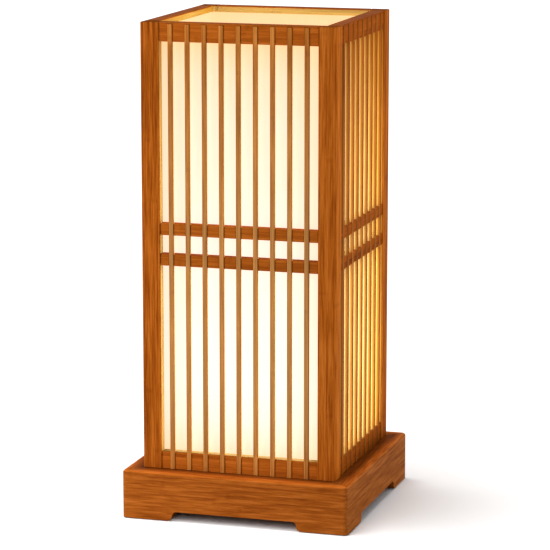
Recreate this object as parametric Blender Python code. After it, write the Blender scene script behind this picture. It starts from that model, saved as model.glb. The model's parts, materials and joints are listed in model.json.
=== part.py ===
"""Square bamboo lantern lamp: slatted sides round a translucent shade, on a footed base.

The lamp stands on the plane Z = 0 with its middle over the origin. Its front faces -Y and up is
+Z. Lengths are in metres. Each side is modelled in its own frame, with X along the side, Y inwards
from the face of the posts or of the base and Z up, and is then turned into place.
"""

import math

import bmesh
import bpy
from mathutils import Matrix, Vector

# Lantern body
BODY_WIDTH = 0.1500  # across the faces of the posts
BODY_HEIGHT = 0.3368  # from the top of the base
POST_SIZE = 0.0140
TOP_RAIL_HEIGHT = 0.0143
TOP_CAP_HEIGHT = 0.0009  # the top rail's outer lip, over the slats' ends
TOP_LIP_HEIGHT = 0.0050  # the top rail's inner lip, over the panel's edge
TOP_RIM_DEPTH = 0.0105  # from the face of the posts to the top rail's inner face
BOTTOM_RAIL_HEIGHT = 0.0136
BELT_RAIL_HEIGHT = 0.0089
BELT_GAP = 0.0141  # clear height between the two belt rails
BELT_MIDDLE = 0.1716  # above the base
RAIL_SETBACK = 0.0010  # behind the face of the posts
SLAT_COUNT = 9
SLAT_WIDTH = 0.0036
SLAT_DEPTH = 0.0028
SLAT_SETBACK = 0.0003
SLAT_END_GAP = 0.00695  # clear width between a post and the first slat
PANEL_SETBACK = 0.0080  # the rails' inner faces, which the panels lie against
PANEL_THICKNESS = 0.0006
TENON_SHOULDER = 0.0014
TENON_WEB = 0.0010  # wood left in a post between the two rails' tenons

# Base
BASE_LEDGE = 0.0130  # how far the base stands out from the faces of the posts
BASE_HEIGHT = 0.0370  # from the floor to the top of the base
BOARD_THICKNESS = 0.0145
BOARD_EDGE_RADIUS = 0.0020
BASE_CORNER_RADIUS = 0.0036
FOOT_LENGTH = 0.0358  # of a foot along the floor
ARCH_HEIGHT = 0.0070
PAD_RADIUS = 0.0060
PAD_THICKNESS = 0.0006
PAD_INSET = 0.0075  # from the faces of the base to the middle of a pad
DECK_THICKNESS = 0.0060
COVER_LIFT = 0.0090  # from the floor to the underside of the bottom cover
COVER_THICKNESS = 0.0020

# Screws that hold the posts, and the smaller ones that hold the bottom cover
POST_SCREW_RADIUS = 0.00175
POST_SCREW_WALL = 0.0008  # wood left between a post's screw hole and its rebate
POST_SCREW_BITE = 0.0180  # length of thread in a post
POST_SCREW_HEAD_RADIUS = 0.0032
POST_SCREW_HEAD_HEIGHT = 0.0024
COVER_SCREW_RADIUS = 0.0015
COVER_SCREW_BITE = 0.0090  # length of thread in a corner block
COVER_SCREW_HEAD_RADIUS = 0.0030
COVER_SCREW_HEAD_HEIGHT = 0.0018
COVER_SCREW_EDGE = 0.0050  # from a block's inner faces to the screw
SCREW_SPACING = 0.0105  # along each side, between a post's screw and the cover's
SCREW_POINT = 0.0030  # length of the point of every screw

# Cord gland in the rear board
GLAND_BORE_RADIUS = 0.0037
GLAND_BARREL_RADIUS = 0.0053
GLAND_FLANGE_RADIUS = 0.0074
GLAND_FLANGE_THICKNESS = 0.0025
GLAND_NUT_FLATS = 0.0130
GLAND_NUT_THICKNESS = 0.0040
GLAND_END = 0.0010  # length of barrel that stands out of the nut

# Lampholder
NIPPLE_RADIUS = 0.0050
NIPPLE_BORE_RADIUS = 0.0036
NIPPLE_BELOW = 0.0065  # length under the deck
NIPPLE_ABOVE = 0.0080  # length over the deck
NIPPLE_NUT_FLATS = 0.0140
NIPPLE_NUT_THICKNESS = 0.0040
HOLDER_RADIUS = 0.0195
HOLDER_FOOT_RADIUS = 0.0150
HOLDER_WALL = 0.0022
HOLDER_FLOOR = 0.0040
HOLDER_CAP_HEIGHT = 0.0200
HOLDER_CAP_SWELL = 0.0100  # height at which the cap reaches its full radius
INSERT_SEAT = 0.0060  # depth of the insert's seat under the cap's rim
INSERT_LEDGE = 0.0020
INSERT_HEIGHT = 0.0085
SKIRT_HEIGHT = 0.0260
SKIRT_RIM_HEIGHT = 0.0020
SKIRT_RIM_WIDTH = 0.0012
SHELL_HEIGHT = 0.0190
SHELL_WALL = 0.0007
CENTRE_CONTACT_RADIUS = 0.0045
CENTRE_CONTACT_HEIGHT = 0.0022

# Screw thread shared by the lampholder's shell and the lamp's cap
THREAD_PITCH = 0.003629
THREAD_ROOT_RADIUS = 0.0121
THREAD_DEPTH = 0.0010
THREAD_CLEARANCE = 0.0004  # between the cap's thread and the shell's
THREAD_FADE = 0.0018  # length over which a thread dies away at its ends
THREAD_STEPS = 5  # rows of points to one pitch

# Screw-in lamp
CONTACT_RADIUS = 0.0042
CONTACT_HEIGHT = 0.0012
INSULATOR_TIP_RADIUS = 0.0055
INSULATOR_RADIUS = 0.0105
INSULATOR_CONE = 0.0031
INSULATOR_COLLAR = 0.0029
CAP_HEIGHT = 0.0211
CAP_THREAD_HEIGHT = 0.0165
HOUSING_SPIGOT = 0.0060  # length inside the cap
HOUSING_NECK_RADIUS = 0.0136
HOUSING_RIM_RADIUS = 0.0263
HOUSING_HEIGHT = 0.0377
HOUSING_WALL = 0.0018
HOUSING_FLOOR = 0.0060
HOUSING_FLARE = 1.5  # how late the housing's flare sets in
LIGHT_BOARD_DROP = 0.0030  # below the housing's rim
LIGHT_BOARD_THICKNESS = 0.0016
DIFFUSER_RADIUS = 0.0300
DIFFUSER_WALL = 0.0012

# Wiring
TERMINAL_WIDTH = 0.0180
TERMINAL_LENGTH = 0.0160
TERMINAL_HEIGHT = 0.0120
TERMINAL_OFFSET = 0.0380  # from the lamp's axis to the middle of the block
LEAD_RADIUS = 0.0011
LEAD_SPACING = 0.0090  # between the two leads at the terminal block
LEAD_BORE_SPACING = 0.0036  # between the two leads in the nipple
LEAD_END_SPACING = 0.0140  # between the two leads at the insert
LEAD_GRIP = 0.0050  # length inside the terminal block
LEAD_SLACK = 0.0050  # depth of the bend under the nipple
LEAD_STEP = 0.0030  # between the points along a lead

# Clearances
GLUE_GAP = 0.0002  # between faces that are glued or that rest on each other
FIT_GAP = 0.0003  # round turned pieces and screws
CUT_OVERRUN = 0.0010  # how far a cutter runs out of what it cuts
WELD = 0.000001

# Facets
ROUND_SIDES = 24
SCREW_SIDES = 10
ARC_STEPS = 4
LEAD_SIDES = 2  # bevel resolution
SMOOTH_ANGLE = math.radians(35)

# Levels and half widths that follow from the sizes above
HALF_BODY = BODY_WIDTH / 2
HALF_BASE = HALF_BODY + BASE_LEDGE
OPENING = BODY_WIDTH - 2 * POST_SIZE
POST_MIDDLE = HALF_BODY - POST_SIZE / 2
REBATE_CORNER = HALF_BODY - PANEL_SETBACK
POST_SCREW_CLEARANCE = POST_SCREW_RADIUS + FIT_GAP + POST_SCREW_WALL
POST_SCREW_PLACE = REBATE_CORNER + POST_SCREW_CLEARANCE / math.sqrt(2)
TENON_LENGTH = POST_SIZE - PANEL_SETBACK - TENON_WEB
SLAT_BACK = SLAT_SETBACK + SLAT_DEPTH
SLAT_TOP = BODY_HEIGHT - TOP_CAP_HEIGHT - GLUE_GAP
PANEL_TOP = BODY_HEIGHT - TOP_LIP_HEIGHT - GLUE_GAP
BASE_CAVITY = HALF_BASE - BOARD_THICKNESS
BOARD_BOTTOM = PAD_THICKNESS + GLUE_GAP
BOARD_HEIGHT = BASE_HEIGHT - BOARD_BOTTOM
DECK_BOTTOM = BASE_HEIGHT - DECK_THICKNESS
COVER_TOP = COVER_LIFT + COVER_THICKNESS
BLOCK_BOTTOM = COVER_TOP + GLUE_GAP
BLOCK_HEIGHT = DECK_BOTTOM - GLUE_GAP - BLOCK_BOTTOM
COVER_SCREW_PLACE = POST_SCREW_PLACE - SCREW_SPACING
BLOCK_INNER = COVER_SCREW_PLACE - COVER_SCREW_EDGE
BLOCK_SIZE = BASE_CAVITY - GLUE_GAP - BLOCK_INNER
BLOCK_MIDDLE = BLOCK_INNER + BLOCK_SIZE / 2
GLAND_LEVEL = (COVER_TOP + DECK_BOTTOM) / 2
HOLDER_FOOT = BASE_HEIGHT + FIT_GAP
HOLDER_BORE = HOLDER_RADIUS - HOLDER_WALL
HOLDER_CAP_TOP = HOLDER_FOOT + HOLDER_CAP_HEIGHT
INSERT_BOTTOM = HOLDER_CAP_TOP - INSERT_SEAT + FIT_GAP
INSERT_TOP = INSERT_BOTTOM + INSERT_HEIGHT
SKIRT_BOTTOM = HOLDER_CAP_TOP + FIT_GAP
SHELL_BOTTOM = INSERT_TOP + FIT_GAP
SHELL_RADIUS = THREAD_ROOT_RADIUS + THREAD_DEPTH + THREAD_CLEARANCE + SHELL_WALL
LAMP_BOTTOM = SHELL_BOTTOM + CENTRE_CONTACT_HEIGHT + FIT_GAP

# Levels on the lamp, above the underside of its contact
INSULATOR_BOTTOM = CONTACT_HEIGHT + FIT_GAP
CAP_BOTTOM = INSULATOR_BOTTOM + INSULATOR_CONE + FIT_GAP
CAP_BORE = INSULATOR_RADIUS + FIT_GAP
CAP_TOP = CAP_BOTTOM + CAP_HEIGHT
HOUSING_BOTTOM = CAP_TOP + FIT_GAP
HOUSING_TOP = HOUSING_BOTTOM + HOUSING_HEIGHT
DIFFUSER_BOTTOM = HOUSING_TOP + FIT_GAP

SIDES = ("front", "right", "back", "left")
CORNERS = ("front_left", "front_right", "back_right", "back_left")
QUARTER_TURN = math.pi / 2


def linear(channel):
    """One 0-255 display channel as a linear colour value."""
    share = channel / 255
    return share / 12.92 if share <= 0.04045 else ((share + 0.055) / 1.055) ** 2.4


def finish(name, colour, roughness, metallic=0.0):
    """A plain material with a display colour."""
    made = bpy.data.materials.new(name)
    made.use_nodes = True
    shader = made.node_tree.nodes["Principled BSDF"]
    shader.inputs["Base Color"].default_value = (*map(linear, colour), 1.0)
    shader.inputs["Roughness"].default_value = roughness
    shader.inputs["Metallic"].default_value = metallic
    return made


def add_box(bm, low, high):
    """The box between two corners."""
    low, high = Vector(low), Vector(high)
    place = Matrix.Translation((low + high) / 2) @ Matrix.Diagonal((*(high - low), 1.0))
    bmesh.ops.create_cube(bm, size=1.0, matrix=place)


def add_prism(bm, outline, axis, start, end):
    """A flat outline of (across, up) points drawn out along X, Y or Z."""
    if axis == "X":
        points = [(start, across, up) for across, up in outline]
    elif axis == "Y":
        points = [(across, start, up) for across, up in outline]
    else:
        points = [(across, up, start) for across, up in outline]
    face = bm.faces.new([bm.verts.new(point) for point in points])
    drawn = bmesh.ops.extrude_face_region(bm, geom=[face])["geom"]
    ends = [item for item in drawn if isinstance(item, bmesh.types.BMVert)]
    step = {"X": (1, 0, 0), "Y": (0, 1, 0), "Z": (0, 0, 1)}[axis]
    bmesh.ops.translate(bm, verts=ends, vec=Vector(step) * (end - start))


def add_turned(bm, profile, sides=ROUND_SIDES, ring=False):
    """A (radius, height) profile turned about Z. A ring's profile closes on itself."""
    points = [bm.verts.new((radius, 0.0, height)) for radius, height in profile]
    following = points[1:] + points[:1] if ring else points[1:]
    edges = [bm.edges.new(pair) for pair in zip(points, following)]
    bmesh.ops.spin(
        bm,
        geom=points + edges,
        cent=(0, 0, 0),
        axis=(0, 0, 1),
        angle=2 * math.pi,
        steps=sides,
        use_merge=True,
    )
    bmesh.ops.remove_doubles(bm, verts=bm.verts[:], dist=WELD)


def arc(centre, radius, first, last, steps=ARC_STEPS):
    """Points along a round stretch, between two angles in degrees."""
    turns = [math.radians(first + (last - first) * step / steps) for step in range(steps + 1)]
    return [(centre[0] + radius * math.cos(t), centre[1] + radius * math.sin(t)) for t in turns]


def hexagon(flats):
    """The corners of a nut's outline, with two flats level."""
    return arc((0, 0), flats / math.sqrt(3), 0, 300, steps=5)


def mesh_of(name, bm, smooth=False):
    """Turns the faces outwards and makes the mesh."""
    bmesh.ops.recalc_face_normals(bm, faces=bm.faces[:])
    mesh = bpy.data.meshes.new(name)
    bm.to_mesh(mesh)
    bm.free()
    if smooth:
        mesh.shade_smooth()
        mesh.set_sharp_from_angle(angle=SMOOTH_ANGLE)
    return mesh


def piece(name, mesh, look, parent, place=(0, 0, 0), turn=0.0):
    """One named sub-part."""
    made = bpy.data.objects.new(name, mesh)
    bpy.context.scene.collection.objects.link(made)
    made.parent = parent
    made.location = place
    made.rotation_euler.z = turn
    if not mesh.materials:
        mesh.materials.append(look)
    return made


def empty(name, parent=None, height=0.0):
    made = bpy.data.objects.new(name, None)
    bpy.context.scene.collection.objects.link(made)
    made.parent = parent
    made.location.z = height
    return made


def shape(target, operation, tool_mesh):
    """Cuts a hidden tool out of a piece, or joins it on, in the piece's own frame."""
    tool = bpy.data.objects.new(f"{target.name}_{tool_mesh.name}", tool_mesh)
    bpy.context.scene.collection.objects.link(tool)
    tool.parent = target
    tool.hide_render = True
    tool.display_type = "WIRE"
    change = target.modifiers.new(tool_mesh.name, "BOOLEAN")
    change.operation = operation
    change.solver = "EXACT"
    change.object = tool


def on_side(number, distance, height):
    """Place and turn of a piece on one of the four sides."""
    turn = number * QUARTER_TURN
    return (math.sin(turn) * distance, -math.cos(turn) * distance, height), turn


def at_corner(number, distance, height):
    """Place and turn of a piece at one of the four corners, from the front left one on."""
    turn = number * QUARTER_TURN
    place = Matrix.Rotation(turn, 3, "Z") @ Vector((-distance, -distance, height))
    return place, turn


def slat_places():
    """The middles of the slats along a side."""
    run = OPENING - 2 * SLAT_END_GAP - SLAT_WIDTH
    return [run * (number / (SLAT_COUNT - 1) - 0.5) for number in range(SLAT_COUNT)]


def belt_levels():
    """The undersides of the two belt rails."""
    upper = BELT_MIDDLE + BELT_GAP / 2
    lower = BELT_MIDDLE - BELT_GAP / 2 - BELT_RAIL_HEIGHT
    return upper, lower


def rail_spans():
    """The underside and height of every rail that a post takes, above the base."""
    spans = [(level, BELT_RAIL_HEIGHT) for level in belt_levels()]
    spans.append((BODY_HEIGHT - TOP_RAIL_HEIGHT, TOP_RAIL_HEIGHT))
    spans.append((GLUE_GAP, BOTTOM_RAIL_HEIGHT - GLUE_GAP))
    return spans


def add_tenons(bm, level, height):
    """The tenons on both ends of a rail, in the side's frame."""
    root = OPENING / 2 - GLUE_GAP - CUT_OVERRUN
    tip = OPENING / 2 + TENON_LENGTH
    front = RAIL_SETBACK + TENON_SHOULDER
    back = PANEL_SETBACK - TENON_SHOULDER
    for way in (-1, 1):
        low, high = sorted((way * root, way * tip))
        add_box(
            bm,
            (low, front, level + TENON_SHOULDER),
            (high, back, level + height - TENON_SHOULDER),
        )


def make_posts(parent, look):
    half = POST_SIZE / 2
    bm = bmesh.new()
    add_box(bm, (-half, -half, GLUE_GAP), (half, half, BODY_HEIGHT))
    mesh = mesh_of("post", bm)

    # The sockets for the front side's rails. The left side's swap X and Y.
    reach = half - TENON_LENGTH - GLUE_GAP
    sockets = []
    shoulder = TENON_SHOULDER - GLUE_GAP
    front = RAIL_SETBACK + shoulder - half
    back = PANEL_SETBACK - shoulder - half
    mouth = half + CUT_OVERRUN
    for level, height in rail_spans():
        low = (reach, front, level + shoulder)
        high = (mouth, back, level + height - shoulder)
        sockets.append((low, high))
    bm = bmesh.new()
    for low, high in sockets:
        add_box(bm, low, high)
        add_box(bm, (low[1], low[0], low[2]), (high[1], high[0], high[2]))
    socket_mesh = mesh_of("sockets", bm)

    # The rebate at the inner corner, where two panels meet, stops under the top rails' lips.
    # Over it the corner is cut back to the lips' inner faces.
    lip_level = BODY_HEIGHT - TOP_LIP_HEIGHT
    wall = PANEL_SETBACK - half
    bm = bmesh.new()
    add_box(bm, (wall, wall, -CUT_OVERRUN), (mouth, mouth, lip_level))
    rebate_mesh = mesh_of("rebate", bm)
    wall = TOP_RIM_DEPTH - half
    bm = bmesh.new()
    add_box(bm, (wall, wall, lip_level - CUT_OVERRUN), (mouth, mouth, BODY_HEIGHT + CUT_OVERRUN))
    rim_mesh = mesh_of("rim", bm)

    screw = POST_MIDDLE - POST_SCREW_PLACE
    hole_mesh = round_hole(
        "screw_hole",
        POST_SCREW_RADIUS + FIT_GAP,
        -CUT_OVERRUN,
        POST_SCREW_BITE + FIT_GAP,
        [(screw, screw)],
    )
    for number, corner in enumerate(CORNERS):
        place, turn = at_corner(number, POST_MIDDLE, BASE_HEIGHT)
        post = piece(f"post_{corner}", mesh, look, parent, place, turn)
        shape(post, "DIFFERENCE", socket_mesh)
        shape(post, "DIFFERENCE", rebate_mesh)
        shape(post, "DIFFERENCE", rim_mesh)
        shape(post, "DIFFERENCE", hole_mesh)


def make_rails(parent, look):
    """The top and bottom rails, with slots for the slats and tenons for the posts."""
    half = OPENING / 2 - GLUE_GAP
    top_level = BODY_HEIGHT - TOP_RAIL_HEIGHT
    lip_level = BODY_HEIGHT - TOP_LIP_HEIGHT
    outlines = {
        "top_rail": [
            (RAIL_SETBACK, top_level),
            (PANEL_SETBACK, top_level),
            (PANEL_SETBACK, lip_level),
            (TOP_RIM_DEPTH, lip_level),
            (TOP_RIM_DEPTH, BODY_HEIGHT),
            (SLAT_SETBACK, BODY_HEIGHT),
            (SLAT_SETBACK, BODY_HEIGHT - TOP_CAP_HEIGHT),
            (RAIL_SETBACK, BODY_HEIGHT - TOP_CAP_HEIGHT),
        ],
        "bottom_rail": [
            (RAIL_SETBACK, GLUE_GAP),
            (PANEL_SETBACK, GLUE_GAP),
            (PANEL_SETBACK, BOTTOM_RAIL_HEIGHT),
            (RAIL_SETBACK, BOTTOM_RAIL_HEIGHT),
        ],
    }
    slot = SLAT_WIDTH / 2 + GLUE_GAP
    for kind, outline in outlines.items():
        low = min(up for across, up in outline)
        high = max(up for across, up in outline)
        slot_top = min(high + CUT_OVERRUN, SLAT_TOP + GLUE_GAP)
        bm = bmesh.new()
        add_prism(bm, outline, "X", -half, half)
        mesh = mesh_of(kind, bm)
        bm = bmesh.new()
        for middle in slat_places():
            add_box(
                bm,
                (middle - slot, RAIL_SETBACK - CUT_OVERRUN, low - CUT_OVERRUN),
                (middle + slot, SLAT_BACK + GLUE_GAP, slot_top),
            )
        slot_mesh = mesh_of("slots", bm)
        bm = bmesh.new()
        add_tenons(bm, low, high - low)
        tenon_mesh = mesh_of("tenons", bm)
        for number, side in enumerate(SIDES):
            place, turn = on_side(number, HALF_BODY, BASE_HEIGHT)
            rail = piece(f"{kind}_{side}", mesh, look, parent, place, turn)
            shape(rail, "UNION", tenon_mesh)
            shape(rail, "DIFFERENCE", slot_mesh)


def make_grilles(parent, look):
    """Nine slats lapped and glued over two belt rails on each side."""
    bm = bmesh.new()
    for middle in slat_places():
        add_box(
            bm,
            (middle - SLAT_WIDTH / 2, SLAT_SETBACK, GLUE_GAP),
            (middle + SLAT_WIDTH / 2, SLAT_BACK, SLAT_TOP),
        )
    mesh = mesh_of("slats", bm)

    half = OPENING / 2 - GLUE_GAP
    bm = bmesh.new()
    for level in belt_levels():
        add_box(bm, (-half, RAIL_SETBACK, level), (half, PANEL_SETBACK, level + BELT_RAIL_HEIGHT))
    belt_mesh = mesh_of("belts", bm)
    bm = bmesh.new()
    for level in belt_levels():
        add_tenons(bm, level, BELT_RAIL_HEIGHT)
    tenon_mesh = mesh_of("belt_tenons", bm)

    for number, side in enumerate(SIDES):
        place, turn = on_side(number, HALF_BODY, BASE_HEIGHT)
        grille = piece(f"grille_{side}", mesh, look, parent, place, turn)
        shape(grille, "UNION", belt_mesh)
        shape(grille, "UNION", tenon_mesh)


def make_panels(parent, look):
    """Two panels from post to post and two between them, which meet in the posts' rebates."""
    front = PANEL_SETBACK + GLUE_GAP
    wide = HALF_BODY - front
    narrow = wide - PANEL_THICKNESS - GLUE_GAP
    meshes = []
    for half in (wide, narrow):
        bm = bmesh.new()
        add_box(bm, (-half, front, GLUE_GAP), (half, front + PANEL_THICKNESS, PANEL_TOP))
        meshes.append(mesh_of("shade_panel", bm))
    for number, side in enumerate(SIDES):
        place, turn = on_side(number, HALF_BODY, BASE_HEIGHT)
        piece(f"shade_panel_{side}", meshes[number % 2], look, parent, place, turn)


def rounded_square(half, radius):
    """The outline of a square with rounded corners."""
    reach = half - radius
    outline = []
    for number, (across, deep) in enumerate(((1, 1), (-1, 1), (-1, -1), (1, -1))):
        first = 90 * number
        outline += arc((across * reach, deep * reach), radius, first, first + 90)
    return outline


def base_outside_mesh():
    """The outside of the whole base in a side's frame: round corners and an eased top edge."""
    radius = BOARD_EDGE_RADIUS
    edge = [(0, -CUT_OVERRUN)]
    edge += arc((radius, BOARD_HEIGHT - radius), radius, 180, 90)
    bm = bmesh.new()
    rings = []
    for inset, level in edge:
        outline = rounded_square(HALF_BASE - inset, BASE_CORNER_RADIUS - inset)
        rings.append([bm.verts.new((across, HALF_BASE + deep, level)) for across, deep in outline])
    for lower, upper in zip(rings, rings[1:]):
        for number in range(len(lower)):
            after = (number + 1) % len(lower)
            bm.faces.new((lower[number], lower[after], upper[after], upper[number]))
    bm.faces.new(reversed(rings[0]))
    bm.faces.new(rings[-1])
    return mesh_of("base_outside", bm, smooth=True)


def make_base_boards(parent, look):
    """Four mitred boards, each cut away underneath to leave a foot at either end."""
    bm = bmesh.new()
    add_box(bm, (-1, -CUT_OVERRUN, 0), (1, BOARD_THICKNESS, BOARD_HEIGHT + CUT_OVERRUN))
    for vert in bm.verts:
        vert.co.x *= HALF_BASE - vert.co.y - GLUE_GAP
    mesh = mesh_of("base_board", bm)
    outside_mesh = base_outside_mesh()

    # A foot's end is rounded at the floor and swept into the top of the cut-out.
    half = HALF_BASE - FOOT_LENGTH
    bend = ARCH_HEIGHT / 2
    outline = [(half, -CUT_OVERRUN)]
    outline += arc((half, bend), bend, 270, 180)
    outline += arc((half - ARCH_HEIGHT, bend), bend, 0, 90)[1:]
    outline += [(-across, up) for across, up in reversed(outline)]
    bm = bmesh.new()
    add_prism(bm, outline, "Y", -CUT_OVERRUN, BOARD_THICKNESS + CUT_OVERRUN)
    arch_mesh = mesh_of("arch", bm)

    for number, side in enumerate(SIDES):
        place, turn = on_side(number, HALF_BASE, BOARD_BOTTOM)
        board = piece(f"base_board_{side}", mesh, look, parent, place, turn)
        shape(board, "INTERSECT", outside_mesh)
        shape(board, "DIFFERENCE", arch_mesh)
        if side == "back":
            shape(board, "DIFFERENCE", gland_seat_mesh())


def lay_along_y(bm, level):
    """Turns what was made about Z to lie along Y, at a height."""
    tip = Matrix.Rotation(-QUARTER_TURN, 3, "X")
    bmesh.ops.rotate(bm, verts=bm.verts[:], cent=(0, 0, 0), matrix=tip)
    bmesh.ops.translate(bm, verts=bm.verts[:], vec=(0, 0, level))


def gland_seat_mesh():
    """The stepped hole for the gland, in the rear board's frame."""
    recess = GLAND_FLANGE_THICKNESS + FIT_GAP
    wide = GLAND_FLANGE_RADIUS + FIT_GAP
    narrow = GLAND_BARREL_RADIUS + FIT_GAP
    far = BOARD_THICKNESS + CUT_OVERRUN
    near = -CUT_OVERRUN
    bm = bmesh.new()
    profile = [(0, far), (narrow, far), (narrow, recess), (wide, recess), (wide, near), (0, near)]
    add_turned(bm, profile)
    lay_along_y(bm, GLAND_LEVEL - BOARD_BOTTOM)
    return mesh_of("gland_seat", bm, smooth=True)


def make_gland(parent, look):
    """A flanged bush for the cord, flush with the rear board, and the nut inside that holds it."""
    back = SIDES.index("back")
    nut_start = BOARD_THICKNESS + FIT_GAP
    barrel_end = nut_start + GLAND_NUT_THICKNESS + GLAND_END
    bm = bmesh.new()
    add_turned(
        bm,
        [
            (GLAND_BORE_RADIUS, 0),
            (GLAND_FLANGE_RADIUS, 0),
            (GLAND_FLANGE_RADIUS, GLAND_FLANGE_THICKNESS),
            (GLAND_BARREL_RADIUS, GLAND_FLANGE_THICKNESS),
            (GLAND_BARREL_RADIUS, barrel_end),
            (GLAND_BORE_RADIUS, barrel_end),
        ],
        ring=True,
    )
    lay_along_y(bm, 0)
    place, turn = on_side(back, HALF_BASE, GLAND_LEVEL)
    piece("cord_gland", mesh_of("cord_gland", bm, smooth=True), look, parent, place, turn)

    bm = bmesh.new()
    add_prism(bm, hexagon(GLAND_NUT_FLATS), "Y", nut_start, nut_start + GLAND_NUT_THICKNESS)
    nut = piece("cord_gland_nut", mesh_of("cord_gland_nut", bm), look, parent, place, turn)
    radius = GLAND_BARREL_RADIUS + FIT_GAP
    bore = round_hole("nut_bore", radius, 0, barrel_end + CUT_OVERRUN, sides=ROUND_SIDES)
    bore.transform(Matrix.Rotation(-QUARTER_TURN, 4, "X"))
    shape(nut, "DIFFERENCE", bore)


def round_hole(name, radius, low, high, places=((0, 0),), sides=SCREW_SIDES):
    """A tool with a straight round hole at each place."""
    bm = bmesh.new()
    for across, along in places:
        bmesh.ops.create_cone(
            bm,
            cap_ends=True,
            segments=sides,
            radius1=radius,
            radius2=radius,
            depth=high - low,
            matrix=Matrix.Translation((across, along, (low + high) / 2)),
        )
    return mesh_of(name, bm, smooth=True)


def four_corners(distance):
    return [(x * distance, y * distance) for x in (-1, 1) for y in (-1, 1)]


def make_deck(parent, look):
    """The board inside the base that carries the posts and the lampholder."""
    half = BASE_CAVITY - GLUE_GAP
    bm = bmesh.new()
    add_box(bm, (-half, -half, DECK_BOTTOM), (half, half, BASE_HEIGHT))
    deck = piece("base_deck", mesh_of("base_deck", bm), look, parent)
    low = DECK_BOTTOM - CUT_OVERRUN
    high = BASE_HEIGHT + CUT_OVERRUN
    places = four_corners(POST_SCREW_PLACE)
    shape(deck, "DIFFERENCE", round_hole("screw_holes", POST_SCREW_RADIUS + FIT_GAP, low, high, places))
    nipple_hole = round_hole("nipple_hole", NIPPLE_RADIUS + FIT_GAP, low, high, sides=ROUND_SIDES)
    shape(deck, "DIFFERENCE", nipple_hole)


def make_corner_blocks(parent, look):
    """Blocks glued into the base's corners, which the deck rests on and both kinds of screw pass."""
    half = BLOCK_SIZE / 2
    bm = bmesh.new()
    add_box(bm, (-half, -half, 0), (half, half, BLOCK_HEIGHT))
    mesh = mesh_of("corner_block", bm)

    # A block's frame stands at the front left corner, so a place nearer the middle is positive.
    post_screw = BLOCK_MIDDLE - POST_SCREW_PLACE
    cover_screw = BLOCK_MIDDLE - COVER_SCREW_PLACE
    wide = POST_SCREW_HEAD_RADIUS + FIT_GAP
    narrow = POST_SCREW_RADIUS + FIT_GAP
    step = POST_SCREW_HEAD_HEIGHT + 2 * FIT_GAP
    top = BLOCK_HEIGHT + CUT_OVERRUN
    foot = -CUT_OVERRUN
    bm = bmesh.new()
    profile = [(0, top), (narrow, top), (narrow, step), (wide, step), (wide, foot), (0, foot)]
    add_turned(bm, profile, SCREW_SIDES)
    bmesh.ops.translate(bm, verts=bm.verts[:], vec=(post_screw, post_screw, 0))
    stepped_mesh = mesh_of("post_screw_hole", bm, smooth=True)
    pilot_mesh = round_hole(
        "cover_screw_hole",
        COVER_SCREW_RADIUS + FIT_GAP,
        -CUT_OVERRUN,
        COVER_SCREW_BITE + FIT_GAP,
        [(cover_screw, cover_screw)],
    )
    for number, corner in enumerate(CORNERS):
        place, turn = at_corner(number, BLOCK_MIDDLE, BLOCK_BOTTOM)
        block = piece(f"corner_block_{corner}", mesh, look, parent, place, turn)
        shape(block, "DIFFERENCE", stepped_mesh)
        shape(block, "DIFFERENCE", pilot_mesh)


def make_bottom_cover(parent, look):
    half = BASE_CAVITY - GLUE_GAP
    bm = bmesh.new()
    add_box(bm, (-half, -half, COVER_LIFT), (half, half, COVER_TOP))
    cover = piece("bottom_cover", mesh_of("bottom_cover", bm), look, parent)
    low = COVER_LIFT - CUT_OVERRUN
    high = COVER_TOP + CUT_OVERRUN
    places = four_corners(COVER_SCREW_PLACE)
    shape(cover, "DIFFERENCE", round_hole("screw_holes", COVER_SCREW_RADIUS + FIT_GAP, low, high, places))


def make_pads(parent, look):
    bm = bmesh.new()
    add_turned(bm, [(0, PAD_THICKNESS), (PAD_RADIUS, PAD_THICKNESS), (PAD_RADIUS, 0), (0, 0)])
    mesh = mesh_of("foot_pad", bm, smooth=True)
    for number, corner in enumerate(CORNERS):
        place, turn = at_corner(number, HALF_BASE - PAD_INSET, 0)
        piece(f"foot_pad_{corner}", mesh, look, parent, place, turn)


def screw_mesh(name, radius, length, head_radius, head_height):
    """A wood screw that points up, with the underside of its head at Z = 0."""
    bm = bmesh.new()
    add_turned(
        bm,
        [
            (0, length),
            (radius, length - SCREW_POINT),
            (radius, 0),
            (head_radius, 0),
            (head_radius, -head_height / 2),
            (head_radius / 2, -head_height),
            (0, -head_height),
        ],
        SCREW_SIDES,
    )
    return mesh_of(name, bm, smooth=True)


def make_screws(parent, look):
    post_seat = BLOCK_BOTTOM + FIT_GAP + POST_SCREW_HEAD_HEIGHT
    post_screw = screw_mesh(
        "post_screw",
        POST_SCREW_RADIUS,
        BASE_HEIGHT + POST_SCREW_BITE - post_seat,
        POST_SCREW_HEAD_RADIUS,
        POST_SCREW_HEAD_HEIGHT,
    )
    cover_seat = COVER_LIFT - FIT_GAP
    cover_screw = screw_mesh(
        "cover_screw",
        COVER_SCREW_RADIUS,
        BLOCK_BOTTOM + COVER_SCREW_BITE - cover_seat,
        COVER_SCREW_HEAD_RADIUS,
        COVER_SCREW_HEAD_HEIGHT,
    )
    for number, corner in enumerate(CORNERS):
        place, turn = at_corner(number, POST_SCREW_PLACE, post_seat)
        piece(f"post_screw_{corner}", post_screw, look, parent, place, turn)
        place, turn = at_corner(number, COVER_SCREW_PLACE, cover_seat)
        piece(f"cover_screw_{corner}", cover_screw, look, parent, place, turn)


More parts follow.
